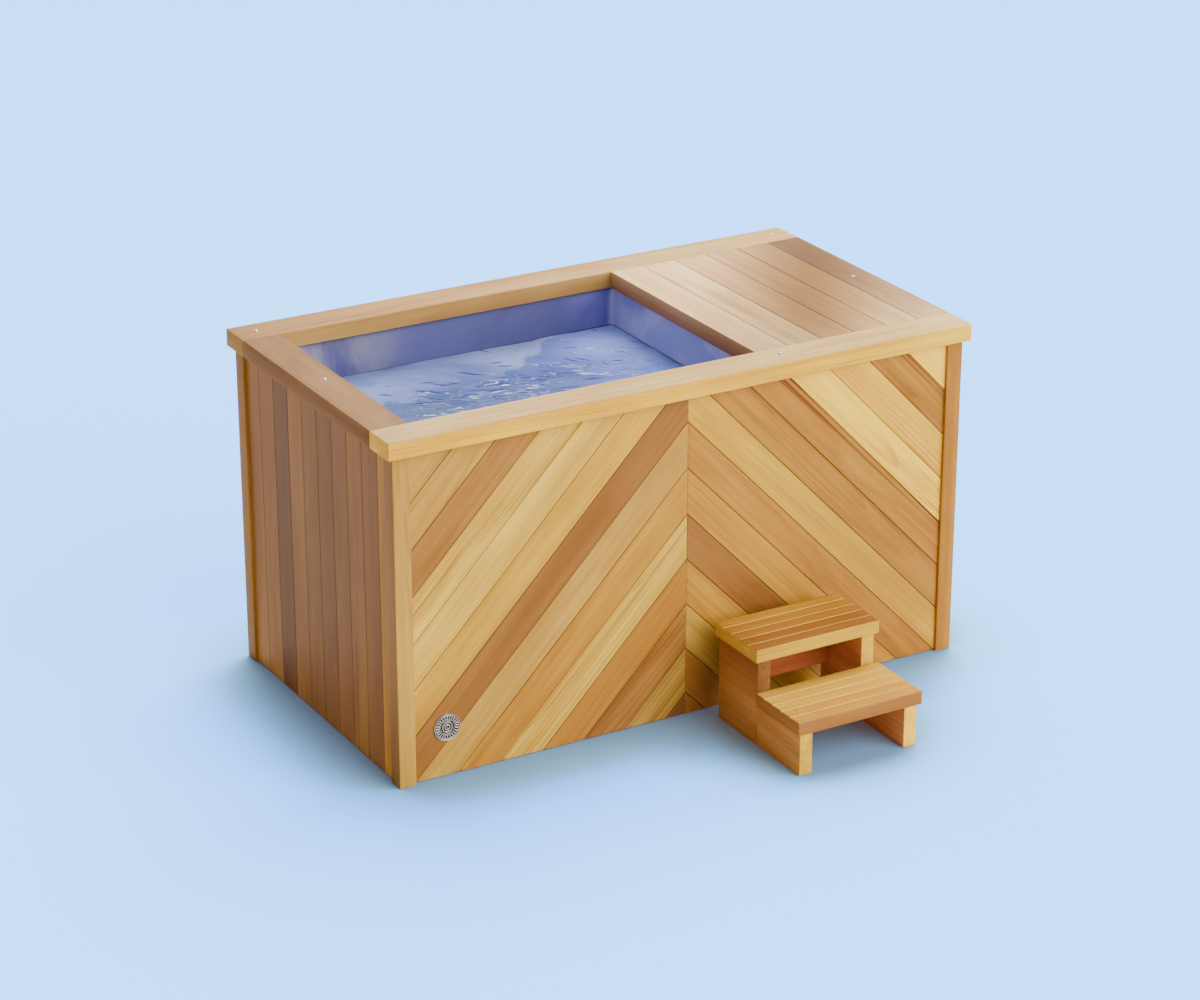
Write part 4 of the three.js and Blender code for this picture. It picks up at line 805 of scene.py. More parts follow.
# Water: long swells plus short ripples, each exp(-(u/length)^2) * v/width * exp(1/2 - (v/width)^2/2) with u
# along its crest, bent a little, and v across it; calm goes from 0 to 1 across the calm line.
def waterShell():
    (x0, x1), (y0, y1), corner = water["x"], water["y"], basin["corner"]
    x, y = np.meshgrid(np.linspace(x0, x1, water["rows"]), np.linspace(y0, y1, water["cols"]), indexing="ij")
    cx, cy = np.clip(x, x0 + corner, x1 - corner), np.clip(y, y0 + corner, y1 - corner)
    far = np.hypot(x - cx, y - cy)
    pull = np.where(far > corner, corner / np.maximum(far, 1e-9), 1.0)
    x, y = cx + (x - cx) * pull, cy + (y - cy) * pull
    z = np.full_like(x, basin["waterLevel"])
    for _ in range(water["swells"]):
        length = np.exp(rng.uniform(*np.log(water["swellLength"])))
        heading, phase = rng.uniform(0, 2 * np.pi, 2)
        swing = 2 * np.pi / length * (np.cos(heading) * x + np.sin(heading) * y) + phase
        z += water["swellHeight"] * (length / 0.1) ** 0.6 * np.sin(swing)
    ripple = np.zeros_like(x)
    for count, middle, spread, long, wide, high, dark, bright in water["ripples"]:
        for _ in range(count):
            px, py = np.array(middle) + rng.normal(0, 1, 2) * spread
            turn = water["crestTurn"] + rng.normal(0, 0.28)
            u = (x - px) * math.cos(turn) + (y - py) * math.sin(turn)
            v = (y - py) * math.cos(turn) - (x - px) * math.sin(turn)
            size = rng.uniform(0.6, 1.5)
            v = v - rng.uniform(-7, 7) * u**2 - rng.uniform(-0.2, 0.2) * u
            w = wide * rng.uniform(0.8, 1.3)
            form = np.exp(-((u / (long * size)) ** 2)) * v / w * np.exp(0.5 - 0.5 * (v / w) ** 2)
            form = form * np.where(form > 0, rng.uniform(0.2, 1.0), rng.uniform(0.2, 1.0) ** 2)
            z += high * form
            ripple += np.where(form > 0, dark, bright) * form
    line = water["calmLine"]
    border = line["y"] + line["lean"] * np.maximum(0, x - line["turnX"])
    for high, often, phase in line["waves"]:
        border += high * np.sin(x * often + phase)
    calm = np.clip(0.5 + (y - border) / line["soft"], 0, 1)
    glint = np.zeros_like(x)
    for (px, py), (wide, deep), strength in water["glints"]:
        glint += strength * np.exp(-(((x - px) / wide) ** 2 + ((y - py) / deep) ** 2) / 2)
    ring = gridBorder(*x.shape)
    top = np.stack([x, y, z], -1).reshape(-1, 3)
    middle, half = np.array([x0 + x1, y0 + y1]) / 2, np.array([x1 - x0, y1 - y0]) / 2
    drawn = 1 - (basin["cove"] + 0.0005) / half  # the foot stays clear of the cove
    foot = np.column_stack([middle + (top[ring, :2] - middle) * drawn, np.full(len(ring), water["bottom"])])
    under = x.size + np.arange(len(ring))
    skirt = np.stack([np.roll(ring, -1), ring, under, np.roll(under, -1)], -1)
    made = shell(np.concatenate([top, foot]), np.concatenate([gridQuads(*x.shape), skirt]), [under[::-1]])
    for word, values in (("ripple", ripple), ("calm", calm), ("glint", glint)):
        made[word] = np.concatenate([values.ravel(), np.zeros(len(ring))])
    return made


addPiece([waterShell()], waterMaterial(), None, name="basinWater", sharp=60)
print("basin and water made")

stool = {
    "strips": 5,
    "groove": 0.0026,
    "round": 0.0016,
    "sideRound": 0.0012,
    "lower": {"tops": ["maple", "honey", "wheat", "gold", "gold"], "vein": 0.4,
              "front": "ginger", "ends": "ginger"},
    "upper": {"tops": ["toffee", "toffee", "amber", "honey", "wheat"], "vein": 0.7,
              "front": "butter", "ends": "straw"},
    # painted highlight: the bottom of each groove between strips is cream
    "grooveHighlight": "cream",
    "stepFront": -0.662,
    # tones of the sides: rear board from floor to top, board ahead, fronts of both, inner face; material
    # slot. The left rear board is painted lighter near the floor and the right inner face lighter, both as
    # bounce light
    "left": ("clay", "brick", "clay", "umber", "butter", None, "shade_wood"),
    "right": ("honey", "honey", "honey", "butter", "cream", "ember", "board_wood"),
    "screws": [(0.0846, -0.8015, 0.147), (0.3865, -0.8040, 0.147), (0.0830, -0.6105, 0.261)],
}


# Tread: a profile in y and z with a V groove between strips, carried along x and drawn in at its ends
def treadShell(node, look):
    lo, hi = nodeBox(node)
    g, r, count, tops = stool["groove"], stool["round"], stool["strips"], look["tops"]
    cuts = np.linspace(lo[1], hi[1], count + 1)
    outline = [(hi[1] - r, lo[2]), (lo[1] + r, lo[2]), (lo[1], lo[2] + r), (lo[1], hi[2] - r)]
    own = [look["front"]] * 4
    for i, (a, b) in enumerate(zip(cuts, cuts[1:])):
        last = i + 1 == count
        outline += [(a + (g if i else r), hi[2]), (b - (r if last else g), hi[2])]
        own += [tops[i]] * 2
        if not last:
            outline.append((b, hi[2] - g))
            own.append(stool["grooveHighlight"])
    outline += [(hi[1], hi[2] - r), (hi[1], lo[2] + r)]
    own += [tops[-1]] * 2
    flat, middle = np.array(outline), (lo[1:] + hi[1:]) / 2
    draw = 1 - 2 * r / (hi[1:] - lo[1:])
    stations = [(lo[0], draw), (lo[0] + r, 1.0), (hi[0] - r, 1.0), (hi[0], draw)]
    rings = [intoAxis(x, *(middle + (flat - middle) * k).T, 0) for x, k in stations]
    made = carried(np.stack(rings))
    p = made["points"]
    strip = np.clip(((p[:, 1] - lo[1]) / (hi[1] - lo[1]) * count).astype(int), 0, count - 1)
    grain = np.stack([p[:, 0], p[:, 1] - cuts[strip], p[:, 2] - lo[2]], -1)
    made = wooden(made, grain, (tops[0], look["vein"]))
    made["tone"] = np.tile(np.array([tones[t] for t in own]), (len(stations), 1))
    return faceTones(made, r, {"-x": look["ends"], "+x": look["ends"]})


for word in ("lower", "upper"):
    node = "stool_tread_" + word
    addPiece([treadShell(node, stool[word])], stoolCedar, "board_wood", node, "stool")
lowerTop = nodeBox("stool_tread_lower")[0][2] - 0.0003
for word in ("left", "right"):
    rearLow, rearTop, ahead, rearFront, aheadFront, inner, slotName = stool[word]
    lo, hi = nodeBox("stool_side_" + word)
    r, step = stool["sideRound"], stool["stepFront"]
    rear = plank((lo[0], step, lo[2]), hi, 1, (rearTop, 0.5), r, figure=(0.02, 0.03))
    front = plank(lo, (hi[0], step, lowerTop), 1, (ahead, 0.5), r, figure=(0.0, 0.02))
    rear["tone"] = gradedTone(rear, 2, rearLow, rearTop)
    for part, tone in ((rear, rearFront), (front, aheadFront)):
        faceTones(part, r, {"-y": tone, "-x": inner} if inner else {"-y": tone})
    addPiece([rear, front], stoolCedar, slotName, "stool_side_" + word, "stool")
# the stretcher's shaded front gets painted bounce light
stretcher = plank(*nodeBox("stool_stretcher"), 0, ("maple", 0.5), 0.002, faces={"-y": "sienna"})
addPiece([stretcher], stoolCedar, "shade_wood", "stool_stretcher", "stool")
screws = [screwHead(place, 2, 1, 0.0026, 0.0004) for place in stool["screws"]]
addPiece(screws, darkSteel, "steel", body="stool", name="stoolScrews")
print("stool made")

# Small metal: snap studs and the medallion
for node in ("stud_left", "stud_back_left", "stud_back_right", "stud_right", "stud_front"):
    lo, hi = nodeBox(node)
    x, y = (lo[:2] + hi[:2]) / 2
    profile = [(0.0060, 0), (0.0060, 0.0006), (0.0056, 0.0010), (0.0036, 0.0011), (0.0034, 0.0016),
               (0.0046, 0.0022), (0.0046, 0.0028), (0.0040, 0.0035), (0.0025, 0.0039), (core, hi[2] - lo[2])]
    addPiece([turned(profile, 2, (x, y, lo[2]), 32)], silverMetal, "silver", node)

medallion = {"segments": 240, "flutes": 24, "fluteFrom": 0.60, "fluteTo": 0.86, "depth": 0.0013,
             "ringPitch": 0.0064, "grooves": ((0.915, 0.026), (0.565, 0.024)), "soft": 0.03}


# Medallion: a plain coin; the depth of its face is a row of flutes (1/2 - cos(flutes * a)/2) in a band near
# the edge and rings (1/2 - cos(2 pi radius / pitch)/2) inside it, and the recesses are dark with age
def medallionShell():
    lo, hi = nodeBox("medallion")
    c, r, m = (lo + hi) / 2, (hi[0] - lo[0]) / 2, medallion
    rows = np.concatenate([[1.0, 1.0, 0.985], np.linspace(0.96, 0.02, 66)])
    t, a = np.meshgrid(rows, fullTurn(m["segments"]), indexing="ij")
    band = np.clip((t - m["fluteFrom"]) / m["soft"], 0, 1) * np.clip((m["fluteTo"] - t) / m["soft"], 0, 1)
    inner = np.clip((m["fluteFrom"] - 0.06 - t) / m["soft"], 0, 1)
    dip = sum(np.exp(-(((t - at) / wide) ** 2)) for at, wide in m["grooves"])
    dip = dip + band * (0.5 - 0.5 * np.cos(m["flutes"] * a))
    dip = np.clip(dip + inner * (0.5 - 0.5 * np.cos(t * r / m["ringPitch"] * 2 * np.pi)), 0, 1)
    depth = lo[1] + m["depth"] * dip
    depth[0], depth[1] = hi[1], lo[1] + 0.0006
    made = carried(np.stack([c[0] + r * t * np.cos(a), depth, c[2] + r * t * np.sin(a)], -1))
    made["recess"] = dip.ravel()
    return made


def agedSilver():
    material, tree = newMaterial("agedSilver")
    color, roughness, height = placeGroup(tree, softBlotch, Place=objectPlace(tree), Color=(0.56, 0.55, 0.56),
                                          Amount=0.6, Roughness=0.36)
    dark = attribute(tree, "recess").smooth(0.10, 0.60)
    setShader(tree, {"Base Color": dark.mix(color, (0.030, 0.024, 0.020)),
                     "Roughness": dark * 0.30 + roughness, "Metallic": 0.85,
                     "Normal": bump(tree, height, 0.2, 0.0002)})
    return material


addPiece([medallionShell()], agedSilver(), "silver", "medallion", name="medallionDisc", sharp=25)
print("studs and medallion made")

door = {"stile": 0.082, "rail": 0.090, "slatThick": 0.008, "slatWide": 0.032, "slatPitch": 0.040,
        "slatTilt": math.radians(42), "slatTenon": 0.004, "endSpace": 0.022,
        "slatTones": ["honey", "honey", "tan", "amber", "amber", "tan", "straw"]}


# Louvred door: two stiles, three rails and two rows of tilted slats
def doorShells():
    lo, hi = nodeBox("access_door")
    inY0, inY1, rail = lo[1] + door["stile"], hi[1] - door["stile"], door["rail"]
    middle = (lo + hi) / 2
    made = [plank(lo, (hi[0], inY0, hi[2]), 2, "honey", 0.002),
            plank((lo[0], inY1, lo[2]), hi, 2, "amber", 0.002)]
    rails = [(low, low + rail) for low in (lo[2], middle[2] - rail / 2, hi[2] - rail)]
    for (a, b), tone in zip(rails, ("amber", "tan", "honey")):
        made.append(plank((lo[0], inY0, a), (hi[0], inY1, b), 1, tone, 0.002))
    w, t, tenon, slatTones = door["slatWide"] / 2, door["slatThick"] / 2, door["slatTenon"], door["slatTones"]
    c, s = math.cos(door["slatTilt"]), math.sin(door["slatTilt"])
    for (_, a), (b, _) in zip(rails, rails[1:]):
        count = int((b - a - 2 * door["endSpace"]) / door["slatPitch"] + 1e-6)
        for i in range(count + 1):
            tone = slatTones[i % len(slatTones)]
            slat = plank((-w, inY0 - tenon, -t), (w, inY1 + tenon, t), 1, tone, 0.0025)
            x, y, z = slat["points"].T
            lift = (a + b) / 2 + (i - count / 2) * door["slatPitch"]
            slat["points"] = np.stack([middle[0] + x * c + z * s, y, lift - x * s + z * c], -1)
            made.append(slat)
    return made


addPiece(doorShells(), doorCedar, "board_wood", "access_door", "door")
print("door made")

fitting = {"bore": 0.018, "boreDepth": 0.026, "sleeve": 0.025, "flange": 0.048, "union": 0.033, "nut": 0.047,
           "ribs": 18, "gridPitch": 0.008}


# Wall fitting: flange with a blind bore, sleeve through the wall and a ribbed union; the suction has a grid
def fittingShells(node):
    lo, hi = nodeBox(node)
    y, z, end = (lo[1] + hi[1]) / 2, (lo[2] + hi[2]) / 2, hi[0] - lo[0]
    bore, deep, sleeve, flange, union, nut = pick(fitting, "bore boreDepth sleeve flange union nut")
    profile = [(core, deep), (bore, deep), (bore, 0.0025), (bore + 0.001, 0.0008), (bore + 0.003, 0),
               (flange - 0.006, 0), (flange - 0.002, 0.001), (flange, 0.003), (flange, 0.0057),
               (sleeve, 0.0057), (sleeve, 0.0143), (union, 0.0143), (union, nut - 0.003),
               (union - 0.003, nut - 0.0015), (union, nut), (union, end - 0.004),
               (union - 0.0015, end - 0.001), (union - 0.004, end), (core, end)]
    wave = ribs(profile, nut, end - 0.004, 72, fitting["ribs"], 0.06)
    made = [turned(profile, 0, (lo[0], y, z), 72, wave=wave)]
    if node.startswith("suction"):
        for axis in (1, 2):
            half = np.array([0.0015, 0.0014, 0.0014])
            half[axis] = bore - 0.0005
            for d in (-1, 0, 1):
                middle = np.array([lo[0] + 0.0019, y, z])
                middle[3 - axis] += d * fitting["gridPitch"]
                made.append(bar(middle - half, middle + half, axis, 0.0008))
    return made


for node in ("suction_fitting", "return_fitting", "drain_fitting"):
    addPiece(fittingShells(node), fittingWhite, "fitting", node)

pipe = {"radius": 0.0202, "collar": 0.0219, "collarLength": 0.016, "bend": 0.038}
pipes = {  # corners of each run, in metres
    "suction_pipe": [(0.3066, -0.130, 0.170), (0.3660, -0.130, 0.170)],
    "pump_pipe": [(0.4263, -0.130, 0.2903), (0.4263, -0.130, 0.3583), (0.4263, -0.308, 0.3583),
                  (0.5117, -0.308, 0.3583)],
    "filter_pipe": [(0.604, -0.2157, 0.3933), (0.604, -0.0003, 0.3933)],
    "return_pipe": [(0.4060, 0.200, 0.378), (0.3563, 0.200, 0.378), (0.3563, 0.200, 0.558),
                    (0.3066, 0.200, 0.558)],
}
for node, corners in pipes.items():  # a circle carried along the bent run, wider by a collar at each end
    path = bentPath(corners, pipe["bend"], 0.002)
    travelled = np.concatenate([[0], np.cumsum(np.linalg.norm(np.diff(path, axis=0), axis=1))])
    fromEnd = np.minimum(travelled, travelled[-1] - travelled)
    step = np.clip((pipe["collarLength"] + 0.001 - fromEnd) / 0.002, 0, 1)
    radius = pipe["radius"] + (pipe["collar"] - pipe["radius"]) * step
    addPiece([swept(path, radius, 40)], pipeWhite, "pipe", node)
print("fittings and pipes made")

pump = {"axisY": -0.130, "axisZ": 0.170, "volute": 0.075, "motor": 0.055, "fins": 40, "foot": 0.008,
        "boltCircle": 0.066}


# Pump: turned volute with a spout, bolts and a foot; turned motor with fins, cover rings and a wiring box
def pumpShells():
    lo, hi = nodeBox("pump")
    x, y, z = lo[0], pump["axisY"], pump["axisZ"]
    v, m, foot, bolts = pick(pump, "volute motor foot boltCircle")
    end, top, low = hi[0] - x, hi[2] - z, v - 0.030
    bulge = bulged(v - 0.013, 0.013, 0.060, 0.029)
    profile = [(core, 0), (0.019, 0), (0.0245, 0.001), (0.026, 0.003), (0.026, 0.015), (0.024, 0.0175),
               (0.024, 0.026), (0.030, 0.030), *bulge, (0.050, 0.0905), (core, 0.092)]
    spout = [(core, low), (0.030, low), (0.026, low + 0.018), (0.026, top - 0.020), (0.0245, top - 0.018),
             (0.0245, top - 0.0165), (0.026, top - 0.015), (0.026, top - 0.0015), (0.0248, top), (core, top)]
    housing = [turned(profile, 0, (x, y, z), 72), turned(spout, 2, (x + 0.060, y, z), 56),
               bar((x + 0.030, y - m, lo[2]), (hi[0] - 0.024, y + m, lo[2] + foot), 0),
               bar((x + 0.100, y - m / 2, lo[2] + 0.005), (hi[0] - 0.036, y + m / 2, z - 0.030), 0, 0.005)]
    for a in np.arange(6) * np.pi / 3 + np.pi / 6:
        place = (x + 0.0318, y + bolts * math.cos(a), z + bolts * math.sin(a))
        housing.append(screwHead(place, 0, -1, 0.0045, 0.003))
    rows = [(core, 0.088), (0.058, 0.088), (0.060, 0.090), (0.060, 0.097), (0.058, 0.099), (m - 0.004, 0.100),
            (m, 0.106), (m, 0.165), (m, 0.224), (m - 0.004, 0.230), (m - 0.001, 0.232), (m, 0.236),
            (m, 0.252), (m - 0.003, 0.263), (m - 0.012, 0.269)]
    rows += [(r, end - (0.004 if i // 2 % 2 else 0)) for i, r in enumerate(np.linspace(m - 0.014, 0.013, 16))]
    rows += [(core, end)]
    motor = [turned(rows, 0, (x, y, z), 320, wave=ribs(rows, 0.106, 0.224, 320, pump["fins"], 0.085)),
             bar((x + 0.128, y - 0.026, z + m - 0.008), (x + 0.200, y + 0.026, z + m + 0.032), 0, 0.006),
             bar((x + 0.125, y - 0.029, z + m + 0.029), (x + 0.203, y + 0.029, z + m + 0.036), 0)]
    for footX, boxX in ((0.046, 0.132), (0.226, 0.196)):
        for k in (-1, 1):
            housing.append(screwHead((x + footX, y + k * (m - 0.010), lo[2] + foot), 2, 1, 0.006, 0.003))
            motor.append(screwHead((x + boxX, y + k * 0.022, z + m + 0.036), 2, 1, 0.003, 0.0012))
    return housing, motor


housing, motor = pumpShells()
addPiece(housing, darkPlastic, "dark_plastic", "pump", name="pumpHousing")
addPiece(motor, motorPaint, "casing", name="pumpMotor")

filterUnit = {"x": 0.604, "y": -0.308, "body": 0.0685, "neck": 0.056, "bodyTop": 0.340, "neckTop": 0.374,
              "inlet": 0.280, "outlet": 0.315, "ribs": 30, "capRadius": 0.066, "lugs": 8, "lugHeight": 0.006,
              "plugX": 0.664, "plugUp": 0.022}


# Canister: turned body with ribs and beads, an inlet and an outlet stub, and a hexagonal drain plug
def canisterShells():
    lo, hi = nodeBox("filter_canister")
    x, y, b, n, bodyTop, top, inlet, outlet = pick(filterUnit, "x y body neck bodyTop neckTop inlet outlet")
    t = np.linspace(0, np.pi / 2, 9)
    shoulder = zip(n + (b - n) * np.cos(t), bodyTop - 0.016 + 0.016 * np.sin(t))

    def bead(at):
        return [(b, at - 0.005), (b + 0.0015, at - 0.003), (b + 0.0015, at + 0.003), (b, at + 0.005)]

    profile = [(core, 0), (0.076, 0), (0.078, 0.002), (0.078, 0.007), (0.076, 0.009), (b - 0.001, 0.010),
               (b - 0.003, 0.014), (b - 0.003, 0.022), (b, 0.030), *bead(0.040), (b, 0.052), (b, 0.130),
               (b, 0.208), *bead(0.220), *bead(0.240), (b, 0.250), *shoulder, (n, 0.352), (n, top - 0.002),
               (n - 0.002, top), (core, top)]
    stub = [(core, 0), (0.0205, 0), (0.0222, 0.0015), (0.0222, 0.014), (0.0205, 0.016), (0.0205, 0.024),
            (0.027, 0.032), (core, 0.05)]
    drainPlug = [(core, 0), (0.014, 0), (0.014, 0.008), (0.0105, 0.008), (0.0105, 0.015), (0.009, 0.0175),
                 (core, 0.0175)]
    wave = ribs(profile, 0.052, 0.208, 240, filterUnit["ribs"], 0.03)
    plugPlace = (filterUnit["plugX"], y, lo[2] + filterUnit["plugUp"])
    return [turned(profile, 2, (x, y, lo[2]), 240, wave=wave),
            turned(stub, 0, (lo[0], y, lo[2] + inlet)),
            turned([(r, -d) for r, d in stub], 1, (x, hi[1], lo[2] + outlet)),
            turned(drainPlug, 0, plugPlace, wave=hexagon(drainPlug, 0.0081, 0.0175, 48))]


# Bayonet cap: lobes r = cap radius + lug height * max(0, cos(lugs * a))^3 round a hollow skirt, and a grip
def capShells():
    lo, hi = nodeBox("filter_cap")
    x, y, n, r = pick(filterUnit, "x y neck capRadius")
    neckTop, low = nodeBox("filter_canister")[1][2] + 0.0003, lo[2]
    top = neckTop + 0.010
    rows = np.array([  # radius, height, share of the lobes
        (core, neckTop, 0), (n + 0.0006, neckTop, 0), (n + 0.0006, low + 0.001, 0), (n + 0.002, low, 0),
        (r - 0.001, low, 1), (r, low + 0.0015, 1), (r, top - 0.006, 1), (r - 0.001, top - 0.003, 0.9),
        (r - 0.005, top, 0.4), (r - 0.014, top, 0), (r - 0.018, top - 0.0015, 0), (core, top - 0.0015, 0)])
    lobe = filterUnit["lugHeight"] / r * np.clip(np.cos(filterUnit["lugs"] * fullTurn(240)), 0, 1) ** 3
    u = np.linspace(-1, 1, 33)
    half, height = 0.0052 - 0.0016 * np.cos(u * np.pi) ** 2, (hi[2] - top + 0.002) * (1 - 0.35 * u**6)
    return [turned(rows[:, :2], 2, (x, y, 0), 240, wave=1 + rows[:, 2:] * lobe),
            lofted(0, x + 0.060 * u, y, top - 0.002 + height / 2, 2 * half, height, 0.0025)]


addPiece(canisterShells(), filterBlue, "filter_blue", "filter_canister")
addPiece(capShells(), darkPlastic, "dark_plastic", "filter_cap", "cap")
print("pump and filter made")

chiller = {"port": 0.020, "foot": 0.0177, "round": 0.014, "edge": 0.004, "points": 720, "mouth": 0.118,
           "coilBack": 0.668, "vents": 7, "ventPitch": 0.022, "ventHeight": 0.008, "ventLength": 0.180,
           "ventDepth": 0.0045, "ventFrom": 0.028, "inset": 0.040, "screwInset": 0.016,
           "coil": (0.032, 0.1165), "coilThick": 0.003, "coilPitch": 0.005, "coilWave": 0.0015}


# Casing: one skin from the back of the fan duct out over its lip, across the front, round the edges and
# along the sides to the back. Each station is a ring of points, a circle in the duct and a rounded rectangle
# outside; the side vents dip by depth * (1 - height in the slot).
def casingShells():
    lo, hi = nodeBox("chiller_casing")
    c, m, back = chiller, chiller["mouth"], chiller["coilBack"]
    left, right, near, far = lo[0] + c["port"], hi[0], lo[1] + c["port"], hi[1]
    bottom, top = lo[2] + c["foot"], hi[2]
    fanY, fanZ = (near + far) / 2, (bottom + top) / 2

    def rectangle(inset):
        wide, high = far - near - 2 * inset, top - bottom - 2 * inset
        ring = roundedRing(wide, high, max(c["round"] - inset, 0.002), 8)
        ring = np.concatenate([ring, ring[:1]])
        run = np.concatenate([[0], np.cumsum(np.linalg.norm(np.diff(ring, axis=0), axis=1))])
        at = np.linspace(0, run[-1], c["points"], endpoint=False)
        return np.stack([np.interp(at, run, ring[:, 0]), np.interp(at, run, ring[:, 1])], -1)

    outline = rectangle(0)
    angle = np.arctan2(outline[:, 1], outline[:, 0])
    circles = [(back, 0.0005), (back, m), (right - 0.040, m), (right - 0.003, m), (right - 0.0008, m + 0.001),
               (right, m + 0.003), (right, m + 0.018)]
    stations = [(x, radius * np.stack([np.cos(angle), np.sin(angle)], -1)) for x, radius in circles]
    quarter = np.linspace(0, np.pi / 2, 6)
    rounds = [(c["edge"] * (1 - math.cos(t)), rectangle(c["edge"] * (1 - math.sin(t)))) for t in quarter]
    stations += [(right, rectangle(0.012))] + [(right - d, ring) for d, ring in rounds]
    height = (outline[:, 1] + fanZ - bottom - c["ventFrom"]) / c["ventPitch"]
    inSlot = (height - np.floor(height)) * c["ventPitch"] / c["ventHeight"]
    onSide = np.abs(outline[:, 0]) > (far - near) / 2 - 1e-4
    slot = onSide & (height >= 0) & (height < c["vents"]) & (inSlot < 1)
    dipped = outline.copy()
    dipped[:, 0] -= np.sign(outline[:, 0]) * slot * c["ventDepth"] * (1 - inSlot)
    middle, half = (left + right) / 2, c["ventLength"] / 2
    stations += [(middle + half + 0.0006, outline), (middle + half, dipped), (middle, dipped),
                 (middle - half, dipped), (middle - half - 0.0006, outline)]
    stations += [(left + d, ring) for d, ring in rounds[::-1]] + [(left, rectangle(0.15))]
    rings = [intoAxis(x, fanY + ring[:, 0], fanZ + ring[:, 1], 0) for x, ring in stations]
    boss = [(core, 0.6877), (0.0046, 0.6877), (0.0046, 0.7015), (0.0055, 0.702), (0.027, 0.702),
            (0.030, 0.699), (0.030, 0.671), (core, 0.671)]
    stub = [(core, 0), (0.0195, 0), (0.0223, 0.001), (0.0223, 0.012), (0.0205, 0.014), (0.0205, 0.018),
            (0.030, 0.0185), (0.030, 0.022), (core, 0.023)]
    leg = [(core, 0), (0.016, 0), (0.018, 0.002), (0.018, 0.007), (0.013, 0.010), (0.013, c["foot"] + 0.001),
           (core, c["foot"] + 0.001)]
    _, returnY, returnZ = pipes["return_pipe"][0]
    filterX, _, filterZ = pipes["filter_pipe"][-1]
    made = [carried(np.stack(rings)), turned(boss, 0, (0, fanY, fanZ)),
            bar((0.676, fanY - m, fanZ - 0.009), (0.684, fanY + m, fanZ + 0.009), 1),
            bar((0.676, fanY - 0.009, fanZ - m), (0.684, fanY + 0.009, fanZ + m), 2),
            turned(stub, 0, (lo[0], returnY, returnZ)), turned(stub, 1, (filterX, lo[1], filterZ))]
    d, e = c["inset"], c["screwInset"]
    made += [turned(leg, 2, (x, y, lo[2]), 32) for x in (left + d, right - d) for y in (near + d, far - d)]
    made += [screwHead((right, y, z), 0, 1, 0.0042, 0.0018)
             for y in (near + e, far - e) for z in (bottom + e, fanZ, top - e)]
    return made, fanY, fanZ


casing, fanY, fanZ = casingShells()
addPiece(casing, casingPaint, "casing", "chiller_casing")
# rings of thin cooling fins: thickness = 3 mm + 1.5 mm * cos(radius * 2 pi / 5 mm)
coilRadius = np.linspace(*chiller["coil"], 170)
coilFace = chiller["coilThick"] + chiller["coilWave"] * np.cos(coilRadius / chiller["coilPitch"] * 2 * np.pi)
coil = [(chiller["coil"][0], 0), *zip(coilRadius, coilFace), (chiller["coil"][1], 0)]
coilBack = (chiller["coilBack"] + 0.0005, fanY, fanZ)
addPiece([turned(coil, 0, coilBack, 96, closed=True)], coilMetal, "steel", name="chillerCoil")

fanWheel = {"blades": 5, "hub": 0.027, "tip": 0.110, "rootHalf": 0.017, "tipHalf": 0.030, "rootPitch": 38,
            "tipPitch": 24, "thick": 0.0024, "camber": 0.004, "sweep": 0.35, "shaft": 0.018}


# Blade: t runs from hub to tip and s across it, and half is half its width; angle = sweep * t^1.5 -
# s * half * cos(pitch) / r and axial = s * half * sin(pitch) * 0.92 + camber * (s^2 - 0.4)
def fanShells():
    w, h, back = fanWheel, fanWheel["hub"], nodeBox("chiller_fan")[0][0]
    x = w["shaft"]
    hub = [(core, 0), (0.004, 0), (0.004, x), (h - 0.001, x), (h, x + 0.001), (h, x + 0.013),
           (h - 0.002, x + 0.018), (h - 0.008, x + 0.0215), (0.010, x + 0.022), (0.008, x + 0.021),
           (core, x + 0.021)]
    made = [turned(hub, 0, (back, fanY, fanZ), 64)]
    t, s = np.meshgrid(np.linspace(0, 1, 22), np.linspace(-1, 1, 17), indexing="ij")
    r = h - 0.003 + (w["tip"] - h + 0.003) * t - 0.010 * t**8 * np.abs(s) ** 2.5
    half = w["rootHalf"] + (w["tipHalf"] - w["rootHalf"]) * t**0.8
    pitch = np.radians(w["rootPitch"] + (w["tipPitch"] - w["rootPitch"]) * t)
    axial = back + x + 0.011 + s * half * np.sin(pitch) * 0.92 + w["camber"] * (s**2 - 0.4)
    thick = w["thick"] * (1 - 0.75 * s**4)
    for i in range(w["blades"]):
        turn = 2 * np.pi * i / w["blades"] + w["sweep"] * t**1.5 - s * half * np.cos(pitch) / r
        y, z = fanY + r * np.cos(turn), fanZ + r * np.sin(turn)
        made.append(slab(*(intoAxis(axial + k * thick / 2, y, z, 0) for k in (1, -1))))
    return made


addPiece(fanShells(), darkPlastic, "dark_plastic", "chiller_fan", "fan")

guard = {"wire": 0.0015, "rings": 9, "inner": 0.030, "outer": 0.123, "spokes": 4, "spokeWire": 0.0012,
         "turn": 0.4}


# Guard: wire rings in front of straight spokes, with a small pressed disc in the middle
def guardShells():
    g, wire = guard, guard["wire"]
    centre = np.array([nodeBox("fan_guard")[1][0] - wire, fanY, fanZ])
    around = fullTurn(10)
    made = []
    for radius in np.linspace(g["inner"], g["outer"], g["rings"]):
        ring = np.stack([radius + wire * np.cos(around), wire * np.sin(around)], -1)
        made.append(turned(ring, 0, centre, 96, closed=True))
    behind = centre - np.array([wire + 0.0006, 0, 0])
    for a in np.arange(g["spokes"]) * np.pi / g["spokes"] + g["turn"]:
        way = np.array([0, math.cos(a), math.sin(a)]) * g["outer"]
        made.append(swept(np.linspace(behind - way, behind + way, 12), g["spokeWire"], 10))
    disc = [(core, -0.002), (0.019, -0.002), (0.021, -0.001), (0.021, 0), (0.017, 0.0011), (0.008, 0.0013),
            (core, 0.0009)]
    return made + [turned(disc, 0, centre)]


addPiece(guardShells(), hingeSteel, "steel", "fan_guard")
print("chiller, fan and guard made")

